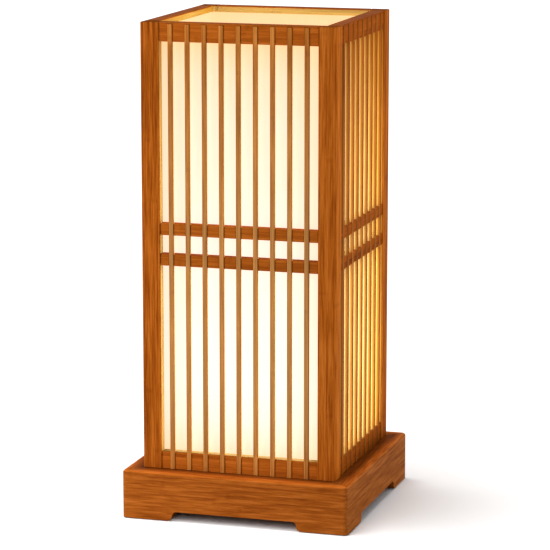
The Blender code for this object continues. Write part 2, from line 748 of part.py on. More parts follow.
def make_nipple(parent, look):
    """The threaded tube that holds the lampholder on the deck and lets the leads through."""
    low = DECK_BOTTOM - NIPPLE_BELOW
    high = BASE_HEIGHT + NIPPLE_ABOVE
    bore = NIPPLE_BORE_RADIUS
    bm = bmesh.new()
    add_turned(bm, [(bore, high), (NIPPLE_RADIUS, high), (NIPPLE_RADIUS, low), (bore, low)], ring=True)
    piece("nipple", mesh_of("nipple", bm, smooth=True), look, parent)

    nut_top = DECK_BOTTOM - FIT_GAP
    nut_bottom = nut_top - NIPPLE_NUT_THICKNESS
    bm = bmesh.new()
    add_prism(bm, hexagon(NIPPLE_NUT_FLATS), "Z", nut_bottom, nut_top)
    nut = piece("nipple_nut", mesh_of("nipple_nut", bm), look, parent)
    nut_bore = round_hole(
        "nut_bore",
        NIPPLE_RADIUS + FIT_GAP,
        nut_bottom - CUT_OVERRUN,
        nut_top + CUT_OVERRUN,
        sides=ROUND_SIDES,
    )
    shape(nut, "DIFFERENCE", nut_bore)


def make_holder_body(parent, look):
    """The cap on the deck and the skirt over it."""
    ledge = HOLDER_CAP_TOP - INSERT_SEAT
    cavity = HOLDER_BORE - INSERT_LEDGE
    floor = HOLDER_FOOT + HOLDER_FLOOR
    foot_cavity = HOLDER_FOOT_RADIUS - HOLDER_WALL
    swell = HOLDER_FOOT + HOLDER_CAP_SWELL
    bore = NIPPLE_RADIUS + FIT_GAP
    bm = bmesh.new()
    add_turned(
        bm,
        [
            (HOLDER_BORE, HOLDER_CAP_TOP),
            (HOLDER_RADIUS, HOLDER_CAP_TOP),
            (HOLDER_RADIUS, swell),
            (HOLDER_FOOT_RADIUS, HOLDER_FOOT),
            (bore, HOLDER_FOOT),
            (bore, floor),
            (foot_cavity, floor),
            (cavity, swell),
            (cavity, ledge),
            (HOLDER_BORE, ledge),
        ],
        ring=True,
    )
    piece("lampholder_cap", mesh_of("lampholder_cap", bm, smooth=True), look, parent)

    top = SKIRT_BOTTOM + SKIRT_HEIGHT
    rim = top - SKIRT_RIM_HEIGHT
    mouth = HOLDER_BORE - SKIRT_RIM_WIDTH
    bm = bmesh.new()
    add_turned(
        bm,
        [
            (mouth, top),
            (HOLDER_RADIUS - SKIRT_RIM_WIDTH, top),
            (HOLDER_RADIUS, rim),
            (HOLDER_RADIUS, SKIRT_BOTTOM),
            (HOLDER_BORE, SKIRT_BOTTOM),
            (HOLDER_BORE, rim),
            (mouth, rim + SKIRT_RIM_HEIGHT / 2),
        ],
        ring=True,
    )
    piece("lampholder_skirt", mesh_of("lampholder_skirt", bm, smooth=True), look, parent)


def make_holder_insert(parent, look, metal):
    """The insulating core, and the centre contact on it."""
    radius = HOLDER_BORE - FIT_GAP
    bm = bmesh.new()
    add_turned(bm, [(0, INSERT_TOP), (radius, INSERT_TOP), (radius, INSERT_BOTTOM), (0, INSERT_BOTTOM)])
    piece("lampholder_insert", mesh_of("lampholder_insert", bm, smooth=True), look, parent)

    low = SHELL_BOTTOM
    high = low + CENTRE_CONTACT_HEIGHT
    middle = (low + high) / 2
    radius = CENTRE_CONTACT_RADIUS
    bm = bmesh.new()
    add_turned(bm, [(0, high), (radius / 2, high), (radius, middle), (radius, low), (0, low)])
    mesh = mesh_of("lampholder_centre_contact", bm, smooth=True)
    piece("lampholder_centre_contact", mesh, metal, parent)


def thread_rows(low, high):
    """Heights of the rows of points along a thread."""
    count = math.ceil((high - low) / THREAD_PITCH * THREAD_STEPS)
    return [high + (low - high) * row / count for row in range(count + 1)]


def thread_wave(height, turn, low, high):
    """A thread's share of its depth at a point, and its strength there, which dies away at both ends."""
    wave = (1 + math.cos(2 * math.pi * height / THREAD_PITCH - turn)) / 2
    return wave, max(0.0, min(1.0, (height - low) / THREAD_FADE, (high - height) / THREAD_FADE))


def make_screw_shell(parent, look):
    """The lampholder's threaded shell, whose thread follows the lamp cap's at a clearance."""
    # Heights here are above the lamp's foot, so that both threads start alike.
    low = SHELL_BOTTOM - LAMP_BOTTOM
    high = low + SHELL_HEIGHT
    open_radius = SHELL_RADIUS - SHELL_WALL
    bm = bmesh.new()
    profile = [(SHELL_RADIUS, high), (SHELL_RADIUS, low)]
    profile += [(open_radius, height) for height in reversed(thread_rows(low, high))]
    add_turned(bm, profile, ring=True)
    for vert in bm.verts:
        radius = vert.co.xy.length
        if radius > open_radius + SHELL_WALL / 2:
            continue
        turn = math.atan2(vert.co.y, vert.co.x)
        wave, strength = thread_wave(vert.co.z, turn, low, high)
        vert.co.xy *= 1 - THREAD_DEPTH * (1 - wave) * strength / radius
    mesh = mesh_of("lampholder_screw_shell", bm, smooth=True)
    piece("lampholder_screw_shell", mesh, look, parent, (0, 0, LAMP_BOTTOM))


def make_lamp_cap(parent, look):
    """The lamp's threaded cap."""
    low = CAP_BOTTOM
    high = CAP_BOTTOM + CAP_THREAD_HEIGHT
    bm = bmesh.new()
    profile = [(CAP_BORE, CAP_TOP), (THREAD_ROOT_RADIUS, CAP_TOP)]
    profile += [(THREAD_ROOT_RADIUS, height) for height in thread_rows(low, high)]
    profile += [(CAP_BORE, CAP_BOTTOM)]
    add_turned(bm, profile, ring=True)
    wall_middle = (CAP_BORE + THREAD_ROOT_RADIUS) / 2
    for vert in bm.verts:
        radius = vert.co.xy.length
        if radius < wall_middle:
            continue
        turn = math.atan2(vert.co.y, vert.co.x)
        wave, strength = thread_wave(vert.co.z, turn, low, high)
        vert.co.xy *= 1 + THREAD_DEPTH * wave * strength / radius
    piece("bulb_screw_cap", mesh_of("bulb_screw_cap", bm, smooth=True), look, parent)


def make_lamp_foot(parent, contact_look, insulator_look):
    """The contact under the lamp and the insulator that holds it in the cap."""
    top = CONTACT_HEIGHT
    radius = CONTACT_RADIUS
    bm = bmesh.new()
    add_turned(bm, [(0, top), (radius, top), (radius, top / 2), (radius / 2, 0), (0, 0)])
    piece("bulb_contact", mesh_of("bulb_contact", bm, smooth=True), contact_look, parent)

    shoulder = INSULATOR_BOTTOM + INSULATOR_CONE
    top = shoulder + INSULATOR_COLLAR
    bm = bmesh.new()
    add_turned(
        bm,
        [
            (0, top),
            (INSULATOR_RADIUS, top),
            (INSULATOR_RADIUS, shoulder),
            (INSULATOR_TIP_RADIUS, INSULATOR_BOTTOM),
            (0, INSULATOR_BOTTOM),
        ],
    )
    piece("bulb_insulator", mesh_of("bulb_insulator", bm, smooth=True), insulator_look, parent)


def housing_radius(height):
    """Outer radius of the lamp's housing, which flares from its neck to its rim."""
    share = (height - HOUSING_BOTTOM) / HOUSING_HEIGHT
    flare = math.sin(share * QUARTER_TURN) ** HOUSING_FLARE
    return HOUSING_NECK_RADIUS + (HOUSING_RIM_RADIUS - HOUSING_NECK_RADIUS) * flare


def make_lamp_housing(parent, look, board_look):
    """The flared housing, and the light board seated inside its rim."""
    spigot = CAP_BORE - FIT_GAP
    count = 2 * ARC_STEPS
    rows = [HOUSING_BOTTOM + HOUSING_HEIGHT * row / count for row in range(count + 1)]
    floor = HOUSING_BOTTOM + HOUSING_FLOOR
    inside = [floor, *(height for height in rows if height > floor)]
    profile = [(0, floor)]
    profile += [(housing_radius(height) - HOUSING_WALL, height) for height in inside]
    profile += [(housing_radius(height), height) for height in reversed(rows)]
    profile += [
        (spigot, HOUSING_BOTTOM),
        (spigot, HOUSING_BOTTOM - HOUSING_SPIGOT),
        (0, HOUSING_BOTTOM - HOUSING_SPIGOT),
    ]
    bm = bmesh.new()
    add_turned(bm, profile)
    piece("bulb_housing", mesh_of("bulb_housing", bm, smooth=True), look, parent)

    low = HOUSING_TOP - LIGHT_BOARD_DROP
    high = low + LIGHT_BOARD_THICKNESS
    radius = housing_radius(low) - HOUSING_WALL - FIT_GAP
    bm = bmesh.new()
    add_turned(bm, [(0, high), (radius, high), (radius, low), (0, low)])
    piece("bulb_light_board", mesh_of("bulb_light_board", bm, smooth=True), board_look, parent)


def make_lamp_diffuser(parent, look):
    """The round glass over the housing's rim."""
    rise = math.sqrt(DIFFUSER_RADIUS**2 - HOUSING_RIM_RADIUS**2)
    centre = (0, DIFFUSER_BOTTOM + rise)
    outer_end = -math.degrees(math.asin(rise / DIFFUSER_RADIUS))
    inner = DIFFUSER_RADIUS - DIFFUSER_WALL
    inner_end = -math.degrees(math.asin(rise / inner))
    profile = arc(centre, DIFFUSER_RADIUS, 90, outer_end, 3 * ARC_STEPS)
    profile += arc(centre, inner, inner_end, 90, 2 * ARC_STEPS)
    profile[0] = (0, profile[0][1])
    profile[-1] = (0, profile[-1][1])
    bm = bmesh.new()
    add_turned(bm, profile)
    piece("bulb_diffuser", mesh_of("bulb_diffuser", bm, smooth=True), look, parent)


def make_terminal_block(parent, look):
    top = DECK_BOTTOM - FIT_GAP
    bottom = top - TERMINAL_HEIGHT
    half = TERMINAL_WIDTH / 2
    near = TERMINAL_OFFSET - TERMINAL_LENGTH / 2
    far = TERMINAL_OFFSET + TERMINAL_LENGTH / 2
    bm = bmesh.new()
    add_box(bm, (-half, near, bottom), (half, far, top))
    block = piece("terminal_block", mesh_of("terminal_block", bm), look, parent)
    holes = round_hole(
        "lead_holes",
        LEAD_RADIUS + FIT_GAP,
        near - CUT_OVERRUN,
        far + CUT_OVERRUN,
        [(-LEAD_SPACING / 2, 0), (LEAD_SPACING / 2, 0)],
    )
    holes.transform(Matrix.Rotation(-QUARTER_TURN, 4, "X"))
    holes.transform(Matrix.Translation((0, 0, (top + bottom) / 2)))
    shape(block, "DIFFERENCE", holes)


def smooth_route(points, step):
    """Evenly spaced points on a smooth curve through the given ones."""
    points = [Vector(point) for point in points]
    padded = [2 * points[0] - points[1], *points, 2 * points[-1] - points[-2]]
    route = []
    for before, start, end, after in zip(padded, padded[1:], padded[2:], padded[3:]):
        count = max(1, round((end - start).length / step))
        for number in range(count):
            t = number / count
            bend = 2 * before - 5 * start + 4 * end - after
            twist = 3 * start - before - 3 * end + after
            route.append(start + (t * (end - before) + t**2 * bend + t**3 * twist) / 2)
    return [*route, points[-1]]


def make_lead(parent, name, look, way):
    """One lead from the terminal block through the nipple to the lampholder's insert."""
    grip = way * LEAD_SPACING / 2
    bore = way * LEAD_BORE_SPACING / 2
    end = way * LEAD_END_SPACING / 2
    block_face = TERMINAL_OFFSET - TERMINAL_LENGTH / 2
    block_level = DECK_BOTTOM - FIT_GAP - TERMINAL_HEIGHT / 2
    nipple_low = DECK_BOTTOM - NIPPLE_BELOW
    nipple_high = BASE_HEIGHT + NIPPLE_ABOVE
    bend_level = nipple_low - LEAD_SLACK
    route = smooth_route(
        [
            (grip, block_face + LEAD_GRIP, block_level),
            (grip, block_face - LEAD_GRIP / 2, block_level),
            ((grip + bore) / 2, block_face / 2, (block_level + bend_level) / 2),
            (bore, LEAD_SLACK, bend_level),
            (bore, 0, nipple_low),
            (bore, 0, (nipple_low + nipple_high) / 2),
            (bore, 0, nipple_high),
            (end, 0, INSERT_BOTTOM - LEAD_SLACK / 2),
            (end, 0, INSERT_BOTTOM - FIT_GAP),
        ],
        LEAD_STEP,
    )
    curve = bpy.data.curves.new(name, "CURVE")
    curve.dimensions = "3D"
    curve.bevel_depth = LEAD_RADIUS
    curve.bevel_resolution = LEAD_SIDES
    curve.use_fill_caps = True
    spline = curve.splines.new("POLY")
    spline.points.add(len(route) - 1)
    for point, place in zip(spline.points, route):
        point.co = (*place, 1.0)
    piece(name, curve, look, parent)


def main():
    for old in list(bpy.data.objects):
        bpy.data.objects.remove(old, do_unlink=True)
    bamboo = finish("bamboo_post", (170, 86, 22), 0.42)
    bamboo_rail = finish("bamboo_rail", (160, 78, 18), 0.45)
    bamboo_slat = finish("bamboo_slat", (186, 118, 56), 0.45)
    bamboo_base = finish("bamboo_base", (178, 97, 34), 0.40)
    bamboo_inner = finish("bamboo_inner", (190, 130, 70), 0.60)
    sheet = finish("shade_sheet", (250, 236, 205), 0.70)
    fibreboard = finish("fibreboard", (120, 92, 66), 0.80)
    felt = finish("felt", (70, 62, 56), 0.95)
    zinc = finish("zinc_steel", (190, 190, 186), 0.35, 1.0)
    brass = finish("brass", (205, 170, 96), 0.30, 1.0)
    nickel = finish("nickel", (200, 198, 192), 0.28, 1.0)
    black_plastic = finish("black_plastic", (28, 27, 26), 0.45)
    ceramic = finish("ceramic", (236, 234, 228), 0.35)
    white_plastic = finish("white_plastic", (240, 240, 236), 0.40)
    black_glass = finish("black_glass", (20, 20, 22), 0.15)
    opal = finish("opal", (250, 248, 240), 0.45)
    board_white = finish("light_board", (225, 228, 225), 0.45)
    brown_sleeve = finish("brown_sleeve", (110, 66, 36), 0.50)
    blue_sleeve = finish("blue_sleeve", (46, 84, 150), 0.50)

    lantern = empty("lantern")
    make_posts(lantern, bamboo)
    make_rails(lantern, bamboo_rail)
    make_grilles(lantern, bamboo_slat)
    make_panels(lantern, sheet)
    make_base_boards(lantern, bamboo_base)
    make_deck(lantern, bamboo_inner)
    make_corner_blocks(lantern, bamboo_inner)
    make_bottom_cover(lantern, fibreboard)
    make_pads(lantern, felt)
    make_screws(lantern, zinc)
    make_gland(lantern, black_plastic)
    make_nipple(lantern, zinc)
    make_holder_body(lantern, black_plastic)
    make_holder_insert(lantern, ceramic, brass)
    make_screw_shell(lantern, nickel)
    make_terminal_block(lantern, white_plastic)
    make_lead(lantern, "lead_live", brown_sleeve, -1)
    make_lead(lantern, "lead_neutral", blue_sleeve, 1)

    # The lamp turns and rises on the axis of the lampholder.
    bulb = empty("bulb", lantern, LAMP_BOTTOM)
    make_lamp_foot(bulb, brass, black_glass)
    make_lamp_cap(bulb, nickel)
    make_lamp_housing(bulb, white_plastic, board_white)
    make_lamp_diffuser(bulb, opal)


main()
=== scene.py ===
"""Bamboo lantern lamp: its finishes, slats, glow and stage, laid over the packed model.

Lengths are in metres and colours are linear. The front faces -Y and up is +Z. Every mesh is made in
the model's own frame, so a finish reads the same place on a new piece as on the solid beside it.
"""

import json
import math

import bmesh
import bpy
from bpy.props import FloatProperty, FloatVectorProperty, IntProperty, PointerProperty
from bpy.types import Operator, Panel, PropertyGroup
from mathutils import Matrix, Vector

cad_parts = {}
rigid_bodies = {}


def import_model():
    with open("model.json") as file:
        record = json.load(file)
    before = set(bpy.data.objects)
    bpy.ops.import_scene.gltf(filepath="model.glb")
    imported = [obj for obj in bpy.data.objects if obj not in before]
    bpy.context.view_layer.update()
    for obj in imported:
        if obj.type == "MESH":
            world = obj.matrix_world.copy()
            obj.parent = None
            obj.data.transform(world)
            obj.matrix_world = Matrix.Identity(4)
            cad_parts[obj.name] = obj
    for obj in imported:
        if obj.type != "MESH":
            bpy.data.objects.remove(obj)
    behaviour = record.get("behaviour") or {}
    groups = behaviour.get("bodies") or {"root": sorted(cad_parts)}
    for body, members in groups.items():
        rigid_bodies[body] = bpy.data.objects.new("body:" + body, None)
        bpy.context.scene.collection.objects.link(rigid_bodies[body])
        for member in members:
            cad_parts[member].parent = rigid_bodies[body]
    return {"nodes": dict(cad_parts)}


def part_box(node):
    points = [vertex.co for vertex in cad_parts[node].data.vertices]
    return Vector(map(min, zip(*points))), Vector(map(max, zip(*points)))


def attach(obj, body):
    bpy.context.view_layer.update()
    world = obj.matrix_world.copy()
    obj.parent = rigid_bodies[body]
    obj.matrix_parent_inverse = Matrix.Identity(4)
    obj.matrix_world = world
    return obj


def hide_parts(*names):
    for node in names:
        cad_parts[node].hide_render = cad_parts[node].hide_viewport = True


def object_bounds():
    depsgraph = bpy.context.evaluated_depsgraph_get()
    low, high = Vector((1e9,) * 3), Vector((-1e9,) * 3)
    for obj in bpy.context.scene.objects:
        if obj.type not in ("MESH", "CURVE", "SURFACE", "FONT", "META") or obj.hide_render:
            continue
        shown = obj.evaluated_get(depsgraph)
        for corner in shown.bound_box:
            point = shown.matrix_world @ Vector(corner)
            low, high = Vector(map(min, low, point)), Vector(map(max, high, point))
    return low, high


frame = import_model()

bl_info = {
    "name": "Bamboo Lantern",
    "version": (1, 0, 0),
    "blender": (4, 5, 0),
    "location": "3D View > Sidebar > Lantern",
    "description": "Finishes a slatted bamboo lantern lamp and sets it on a pale stage",
    "category": "Object",
}

CAD_LOW, CAD_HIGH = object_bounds()

SIDES = ("front", "right", "back", "left")
CORNERS = ("front_left", "front_right", "back_right", "back_left")
QUARTER_TURN = math.pi / 2
SIDES_ALONG = {"X": ("front", "back"), "Y": ("right", "left")}

POST_LOW, POST_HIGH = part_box("post_front_left")
HALF_BODY = -POST_LOW.x
BASE_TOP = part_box("base_deck")[1].z
BODY_TOP = POST_HIGH.z
HALF_OPENING = -POST_HIGH.x
BOTTOM_RAIL_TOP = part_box("bottom_rail_front")[1].z
TOP_RAIL_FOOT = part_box("top_rail_front")[0].z
GRILLE_LOW, GRILLE_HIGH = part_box("grille_front")
PANEL_LOW, PANEL_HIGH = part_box("shade_panel_front")
BULB_LOW, BULB_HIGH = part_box("bulb_diffuser")

# Shares of the sanded edge's width that some pieces take.
RAIL_EASE = 0.7
SLAT_EASE = 0.6
BELT_EASE = 0.5
BOARD_EASE = 0.5
BASE_EASE = 0.1
PLASTIC_EDGE = 0.0004
WELD_REACH = 0.000005
SHARP_ANGLE = math.radians(40)

# How brightly the lamp lights the shade, from the foot of a panel to its top.
LAMP_LEVELS = (
    (0.00, 0.10),
    (0.03, 0.26),
    (0.07, 0.54),
    (0.12, 0.82),
    (0.20, 1.00),
    (0.30, 0.98),
    (0.42, 0.86),
    (0.60, 0.70),
    (0.80, 0.50),
    (0.90, 0.33),
    (0.97, 0.05),
    (1.00, 0.00),
)

# From a panel to the light that it throws, and the lamp's light in the top of the shade.
SPILL_GAP = 0.0006
RIM_LIGHT_DEPTH = 0.06
RIM_LIGHT_RADIUS = 0.02

# Where the stage's lights stand, how wide and high they are and what they look at.
MIDDLE = (CAD_LOW + CAD_HIGH) / 2
SOFTBOX_PLACE = Vector((-0.46, -0.42, 0.13))
SOFTBOX_SIZE = (0.34, 0.70)
FILL_PLACE = Vector((0.95, 0.0, 0.45))
FILL_SIZE = (0.50, 0.50)
LOW_PLACE = Vector((0.0, CAD_LOW.y - 0.06, 0.055))
LOW_SIZE = (0.16, 0.05)
LOW_AIM = Vector((0.0, CAD_LOW.y + 0.01, 0.0))
KEY_ELEVATION = math.radians(74)
KEY_SPREAD = math.radians(48)
FLOOR_RADIUS = 14.0
SENSOR_WIDTH = 36.0


def colour_of(name, description, default):
    return FloatVectorProperty(
        name=name,
        description=description,
        default=default,
        size=3,
        subtype="COLOR",
        min=0.0,
        max=1.0,
    )


def length_of(name, description, default):
    return FloatProperty(
        name=name,
        description=description,
        default=default,
        min=0.0,
        unit="LENGTH",
        subtype="DISTANCE",
        precision=4,
    )


def angle_of(name, description, default):
    return FloatProperty(
        name=name,
        description=description,
        default=math.radians(default),
        unit="ROTATION",
        subtype="ANGLE",
    )


def amount_of(name, description, default):
    return FloatProperty(name=name, description=description, default=default, min=0.0)


class LanternTimber(PropertyGroup):
    """Colours and make-up of the bamboo."""

    # The side colours are lit and shaded copies of each colour: painted light and shade on the left
    # and right faces; the base's sides are also a darker board.
    post: colour_of("Posts", "Posts on the front and back", (0.380, 0.092, 0.0073))
    post_side: colour_of("Post sides", "Posts on the left and right", (0.440, 0.112, 0.008))
    rail: colour_of("Rails", "Rails on the front and back", (0.425, 0.101, 0.009))
    rail_side: colour_of("Side rails", "Rails on the left and right", (0.350, 0.076, 0.004))
    belt: colour_of("Belts", "Belt rails on the front and back", (0.415, 0.104, 0.010))
    belt_side: colour_of("Side belts", "Belt rails on the left and right", (0.330, 0.068, 0.0035))
    slat: colour_of("Slats", "Slats on the front and back", (0.437, 0.151, 0.026))
    slat_side: colour_of("Side slats", "Slats on the left and right", (0.320, 0.082, 0.006))
    base: colour_of("Base", "Front and back boards of the base", (0.395, 0.100, 0.0115))
    base_side: colour_of("Base sides", "Left and right boards of the base", (0.315, 0.092, 0.0165))
    # Painted lamplight: the next two colours stand for the lamp's light on the faces that look at the
    # shade, dimmer near their face.
    reveal: colour_of("Reveals", "Sides of slats and posts, near the shade", (0.585, 0.390, 0.116))
    reveal_edge: colour_of("Reveal edges", "The same, near their face", (0.280, 0.085, 0.006))
    inner: colour_of("Inside", "Middle colour of the bare bamboo inside", (0.540, 0.290, 0.100))
    strip: length_of("Strip", "Width of the strips that the bamboo is laminated from", 0.0052)
    joint_spacing: length_of("Joint spacing", "Length of cane between two joints", 0.190)
    eased_edge: length_of("Eased edge", "Width of the sanded edges", 0.0006)
    joint_fill: length_of("Joint fill", "How far the base boards swell to close their joints", 0.00014)
    satin: amount_of("Satin", "Middle roughness of the lacquer", 0.52)
    gloss: amount_of("Gloss", "Mirror share of the lacquer", 0.004)


class LanternGrille(PropertyGroup):
    """Sizes of the slats and of the belt rails that they cross."""

    count: IntProperty(name="Slats", description="Slats on each side", default=9, min=2)
    width: length_of("Slat width", "Width of a slat's face", 0.0036)
    depth: length_of("Slat depth", "Depth of a slat", 0.0027)
    setback: length_of("Slat setback", "From the posts' face to the slats' face", 0.0003)
    end_gap: length_of("End gap", "Clear width between a post and the first slat", 0.00695)
    belt_setback: length_of("Belt setback", "From the posts' face to the belt rails' face", 0.0010)
    belt_back: length_of("Belt back", "From the posts' face to the belt rails' back", 0.0080)
    belt_height: length_of("Belt height", "Height of a belt rail", 0.0089)
    belt_gap: length_of("Belt gap", "Clear height between the belt rails", 0.0141)
    belt_middle: length_of("Belt middle", "From the base to the middle of the belt", 0.1716)
    glue_gap: length_of("Glue gap", "Clearance in the joints", 0.0002)


class LanternShade(PropertyGroup):
    """Colours of the lit shade."""

    sheet: colour_of("Sheet", "Colour of the shade's sheet by itself", (0.25, 0.21, 0.15))
    glow_middle: colour_of("Glow, middle", "Light of the sheet beside the lamp", (1.0, 0.92, 0.87))
    glow_far: colour_of("Glow, far", "Light of the sheet at its far edges", (1.0, 0.60, 0.29))
    strength: amount_of("Strength", "Strength of the sheet's light", 1.0)
    spill: amount_of("Spill", "Light that each panel throws on the slats, in watts", 0.45)
    spill_colour: colour_of("Spill colour", "Colour of the light on the slats", (1.0, 0.92, 0.85))
    spill_top: colour_of("Spill, top", "Share of that light at the top", (0.15, 0.090, 0.028))
    glare: amount_of("Glare", "Lamplight that shows on the front of the slats", 0.09)
    glare_colour: colour_of("Glare colour", "Colour of that lamplight", (1.0, 0.95, 0.45))
    rim: amount_of("Rim", "Light that the lamp throws on the inside of the rim, in watts", 0.20)
    rim_colour: colour_of("Rim colour", "Colour of the light on the rim", (1.0, 0.82, 0.50))
    bulb: amount_of("Bulb", "Strength of the bulb's light", 1.1)


class LanternFittings(PropertyGroup):
    """Colours of the metal and plastic fittings."""

    steel: colour_of("Steel", "Zinc plated screws and nipple", (0.56, 0.55, 0.52))
    brass: colour_of("Brass", "Contacts", (0.60, 0.42, 0.15))
    nickel: colour_of("Nickel", "Screw shell and the lamp's screw cap", (0.60, 0.59, 0.55))
    dark_plastic: colour_of("Dark plastic", "Lampholder and gland", (0.014, 0.014, 0.013))
    pale_plastic: colour_of("Pale plastic", "Lamp housing and terminals", (0.82, 0.81, 0.78))
    live_sleeve: colour_of("Live sleeve", "Lead to the centre contact", (0.150, 0.055, 0.018))
    neutral_sleeve: colour_of("Neutral sleeve", "Lead to the shell", (0.028, 0.090, 0.310))
    black_glass: colour_of("Black glass", "Insulator under the lamp's cap", (0.010, 0.010, 0.012))
    light_board: colour_of("Light board", "Coat of the lamp's light board", (0.76, 0.77, 0.75))
    felt: colour_of("Felt", "Foot pads", (0.060, 0.048, 0.040))
    fibreboard: colour_of("Fibreboard", "Bottom cover", (0.190, 0.108, 0.056))


class LanternStage(PropertyGroup):
    """Floor, light and camera."""

    floor: colour_of("Floor", "Colour of the floor", (0.93, 0.93, 0.93))
    bounce: amount_of("Bounce", "Share of its light that the floor throws back up", 0.42)
    sky: amount_of("Sky", "Light from all round", 0.56)
    key: amount_of("Key", "Light on the floor from above on the left", 2.80)
    softbox: amount_of("Softbox", "Near light at the front on the left, in watts", 4.1)
    fill: amount_of("Fill", "Near light on the right, in watts", 3.8)
    low: amount_of("Low light", "Light that reaches under the front of the base, in watts", 0.07)
    azimuth: angle_of("Azimuth", "Camera's turn to the right of the front", 16.854)
    elevation: angle_of("Elevation", "Camera's height over the horizon", 10.759)
    distance: length_of("Distance", "From the camera to what it points at", 2.1120)
    lens: FloatProperty(
        name="Lens",
        description="Focal length on a 36 mm sensor",
        default=181.138,
        min=1.0,
        unit="CAMERA",
    )
    target: FloatVectorProperty(
        name="Target",
        description="Point that the camera is aimed at",
        default=(0.0057, 0.0, 0.1756),
        size=3,
        subtype="TRANSLATION",
        unit="LENGTH",
    )


class Finish:
    """A material and the nodes that make it up."""

    def __init__(self, name):
        self.material = bpy.data.materials.new(name)
        self.material.use_nodes = True
        self.tree = self.material.node_tree
        self.shader = self.tree.nodes["Principled BSDF"]
        coordinates = self.add("ShaderNodeTexCoord")
        self.place = coordinates.outputs["Object"]
        self.normal = coordinates.outputs["Normal"]

    def add(self, kind, **settings):
        node = self.tree.nodes.new(kind)
        for key, value in settings.items():
            setattr(node, key, value)
        return node

    def feed(self, socket, source):
        """Links a socket, or gives it a plain value."""
        if isinstance(source, bpy.types.NodeSocket):
            self.tree.links.new(source, socket)
        else:
            socket.default_value = source

    def set(self, **values):
        """Sets the shader's sockets, named with underscores for spaces."""
        for name, value in values.items():
            self.feed(self.shader.inputs[name.replace("_", " ")], value)

    def math(self, operation, *values):
        node = self.add("ShaderNodeMath", operation=operation)
        for socket, value in zip(node.inputs, values):
            self.feed(socket, value)
        return node.outputs["Value"]

    def centred(self, value):
        """A value from 0 to 1, measured from its middle."""
        return self.math("SUBTRACT", value, 0.5)

    def off_middle(self, value):
        """How far a value is from the middle of the whole step that it lies in."""
        return self.math("ABSOLUTE", self.centred(self.math("FRACT", value)))

    def weigh(self, base, *parts):
        """Adds parts to a base, each times its weight."""
        for part, weight in parts:
            base = self.math("MULTIPLY_ADD", part, weight, base)
        return base

    def split(self, vector):
        node = self.add("ShaderNodeSeparateXYZ")
        self.feed(node.inputs[0], vector)
        return tuple(node.outputs)

    def join(self, x, y, z):
        node = self.add("ShaderNodeCombineXYZ")
        for socket, value in zip(node.inputs, (x, y, z)):
            self.feed(socket, value)
        return node.outputs[0]

    def scaled(self, vector, x, y, z):
        node = self.add("ShaderNodeVectorMath", operation="MULTIPLY")
        self.feed(node.inputs[0], vector)
        node.inputs[1].default_value = (x, y, z)
        return node.outputs["Vector"]

    def noise(self, vector, scale=1.0, detail=3.0, roughness=0.55):
        node = self.add("ShaderNodeTexNoise")
        self.feed(node.inputs["Vector"], vector)
        node.inputs["Scale"].default_value = scale
        node.inputs["Detail"].default_value = detail
        node.inputs["Roughness"].default_value = roughness
        return node.outputs["Fac"]

    def hashed(self, vector):
        """One steady random value for each cell of a stepped vector."""
        node = self.add("ShaderNodeTexWhiteNoise")
        self.feed(node.inputs["Vector"], vector)
        return node.outputs["Value"]

    def rise(self, value, low, high, start=0.0, end=1.0):
        """Goes smoothly from start to end while the value goes from low to high."""
        node = self.add("ShaderNodeMapRange", interpolation_type="SMOOTHSTEP")
        for socket, number in zip(node.inputs, (value, low, high, start, end)):
            self.feed(socket, number)
        return node.outputs["Result"]

    def blend(self, factor, first, second, kind="MIX"):
        node = self.add("ShaderNodeMix", data_type="RGBA", blend_type=kind)
        self.feed(node.inputs[0], factor)
        self.feed(node.inputs[6], first if not isinstance(first, tuple) else (*first, 1.0))
        self.feed(node.inputs[7], second if not isinstance(second, tuple) else (*second, 1.0))
        return node.outputs[2]

    def ramp(self, value, *stops):
        """Colours at places from 0 to 1."""
        node = self.add("ShaderNodeValToRGB")
        points = node.color_ramp.elements
        while len(points) < len(stops):
            points.new(0.5)
        for point, (position, colour) in zip(points, stops):
            point.position = position
            point.color = (*colour, 1.0)
        self.feed(node.inputs["Fac"], value)
        return node.outputs["Color"]

    def bump(self, height, strength, distance):
        node = self.add("ShaderNodeBump")
        node.inputs["Strength"].default_value = strength
        node.inputs["Distance"].default_value = distance
        self.feed(node.inputs["Height"], height)
        self.feed(self.shader.inputs["Normal"], node.outputs["Normal"])

    def edges(self, radius, low=0.80, high=0.985):
        """1 on sharp edges and 0 on open faces."""
        rounded = self.add("ShaderNodeBevel", samples=4)
        rounded.inputs["Radius"].default_value = radius
        plain = self.add("ShaderNodeNewGeometry")
        node = self.add("ShaderNodeVectorMath", operation="DOT_PRODUCT")
        self.feed(node.inputs[0], rounded.outputs["Normal"])
        self.feed(node.inputs[1], plain.outputs["Normal"])
        return self.rise(node.outputs["Value"], low, high, 1.0, 0.0)


def shade_of(colour, share, paler=0.0):
    """A lighter or darker version of a colour."""
    return tuple(min(1.0, channel * share + paler) for channel in colour)


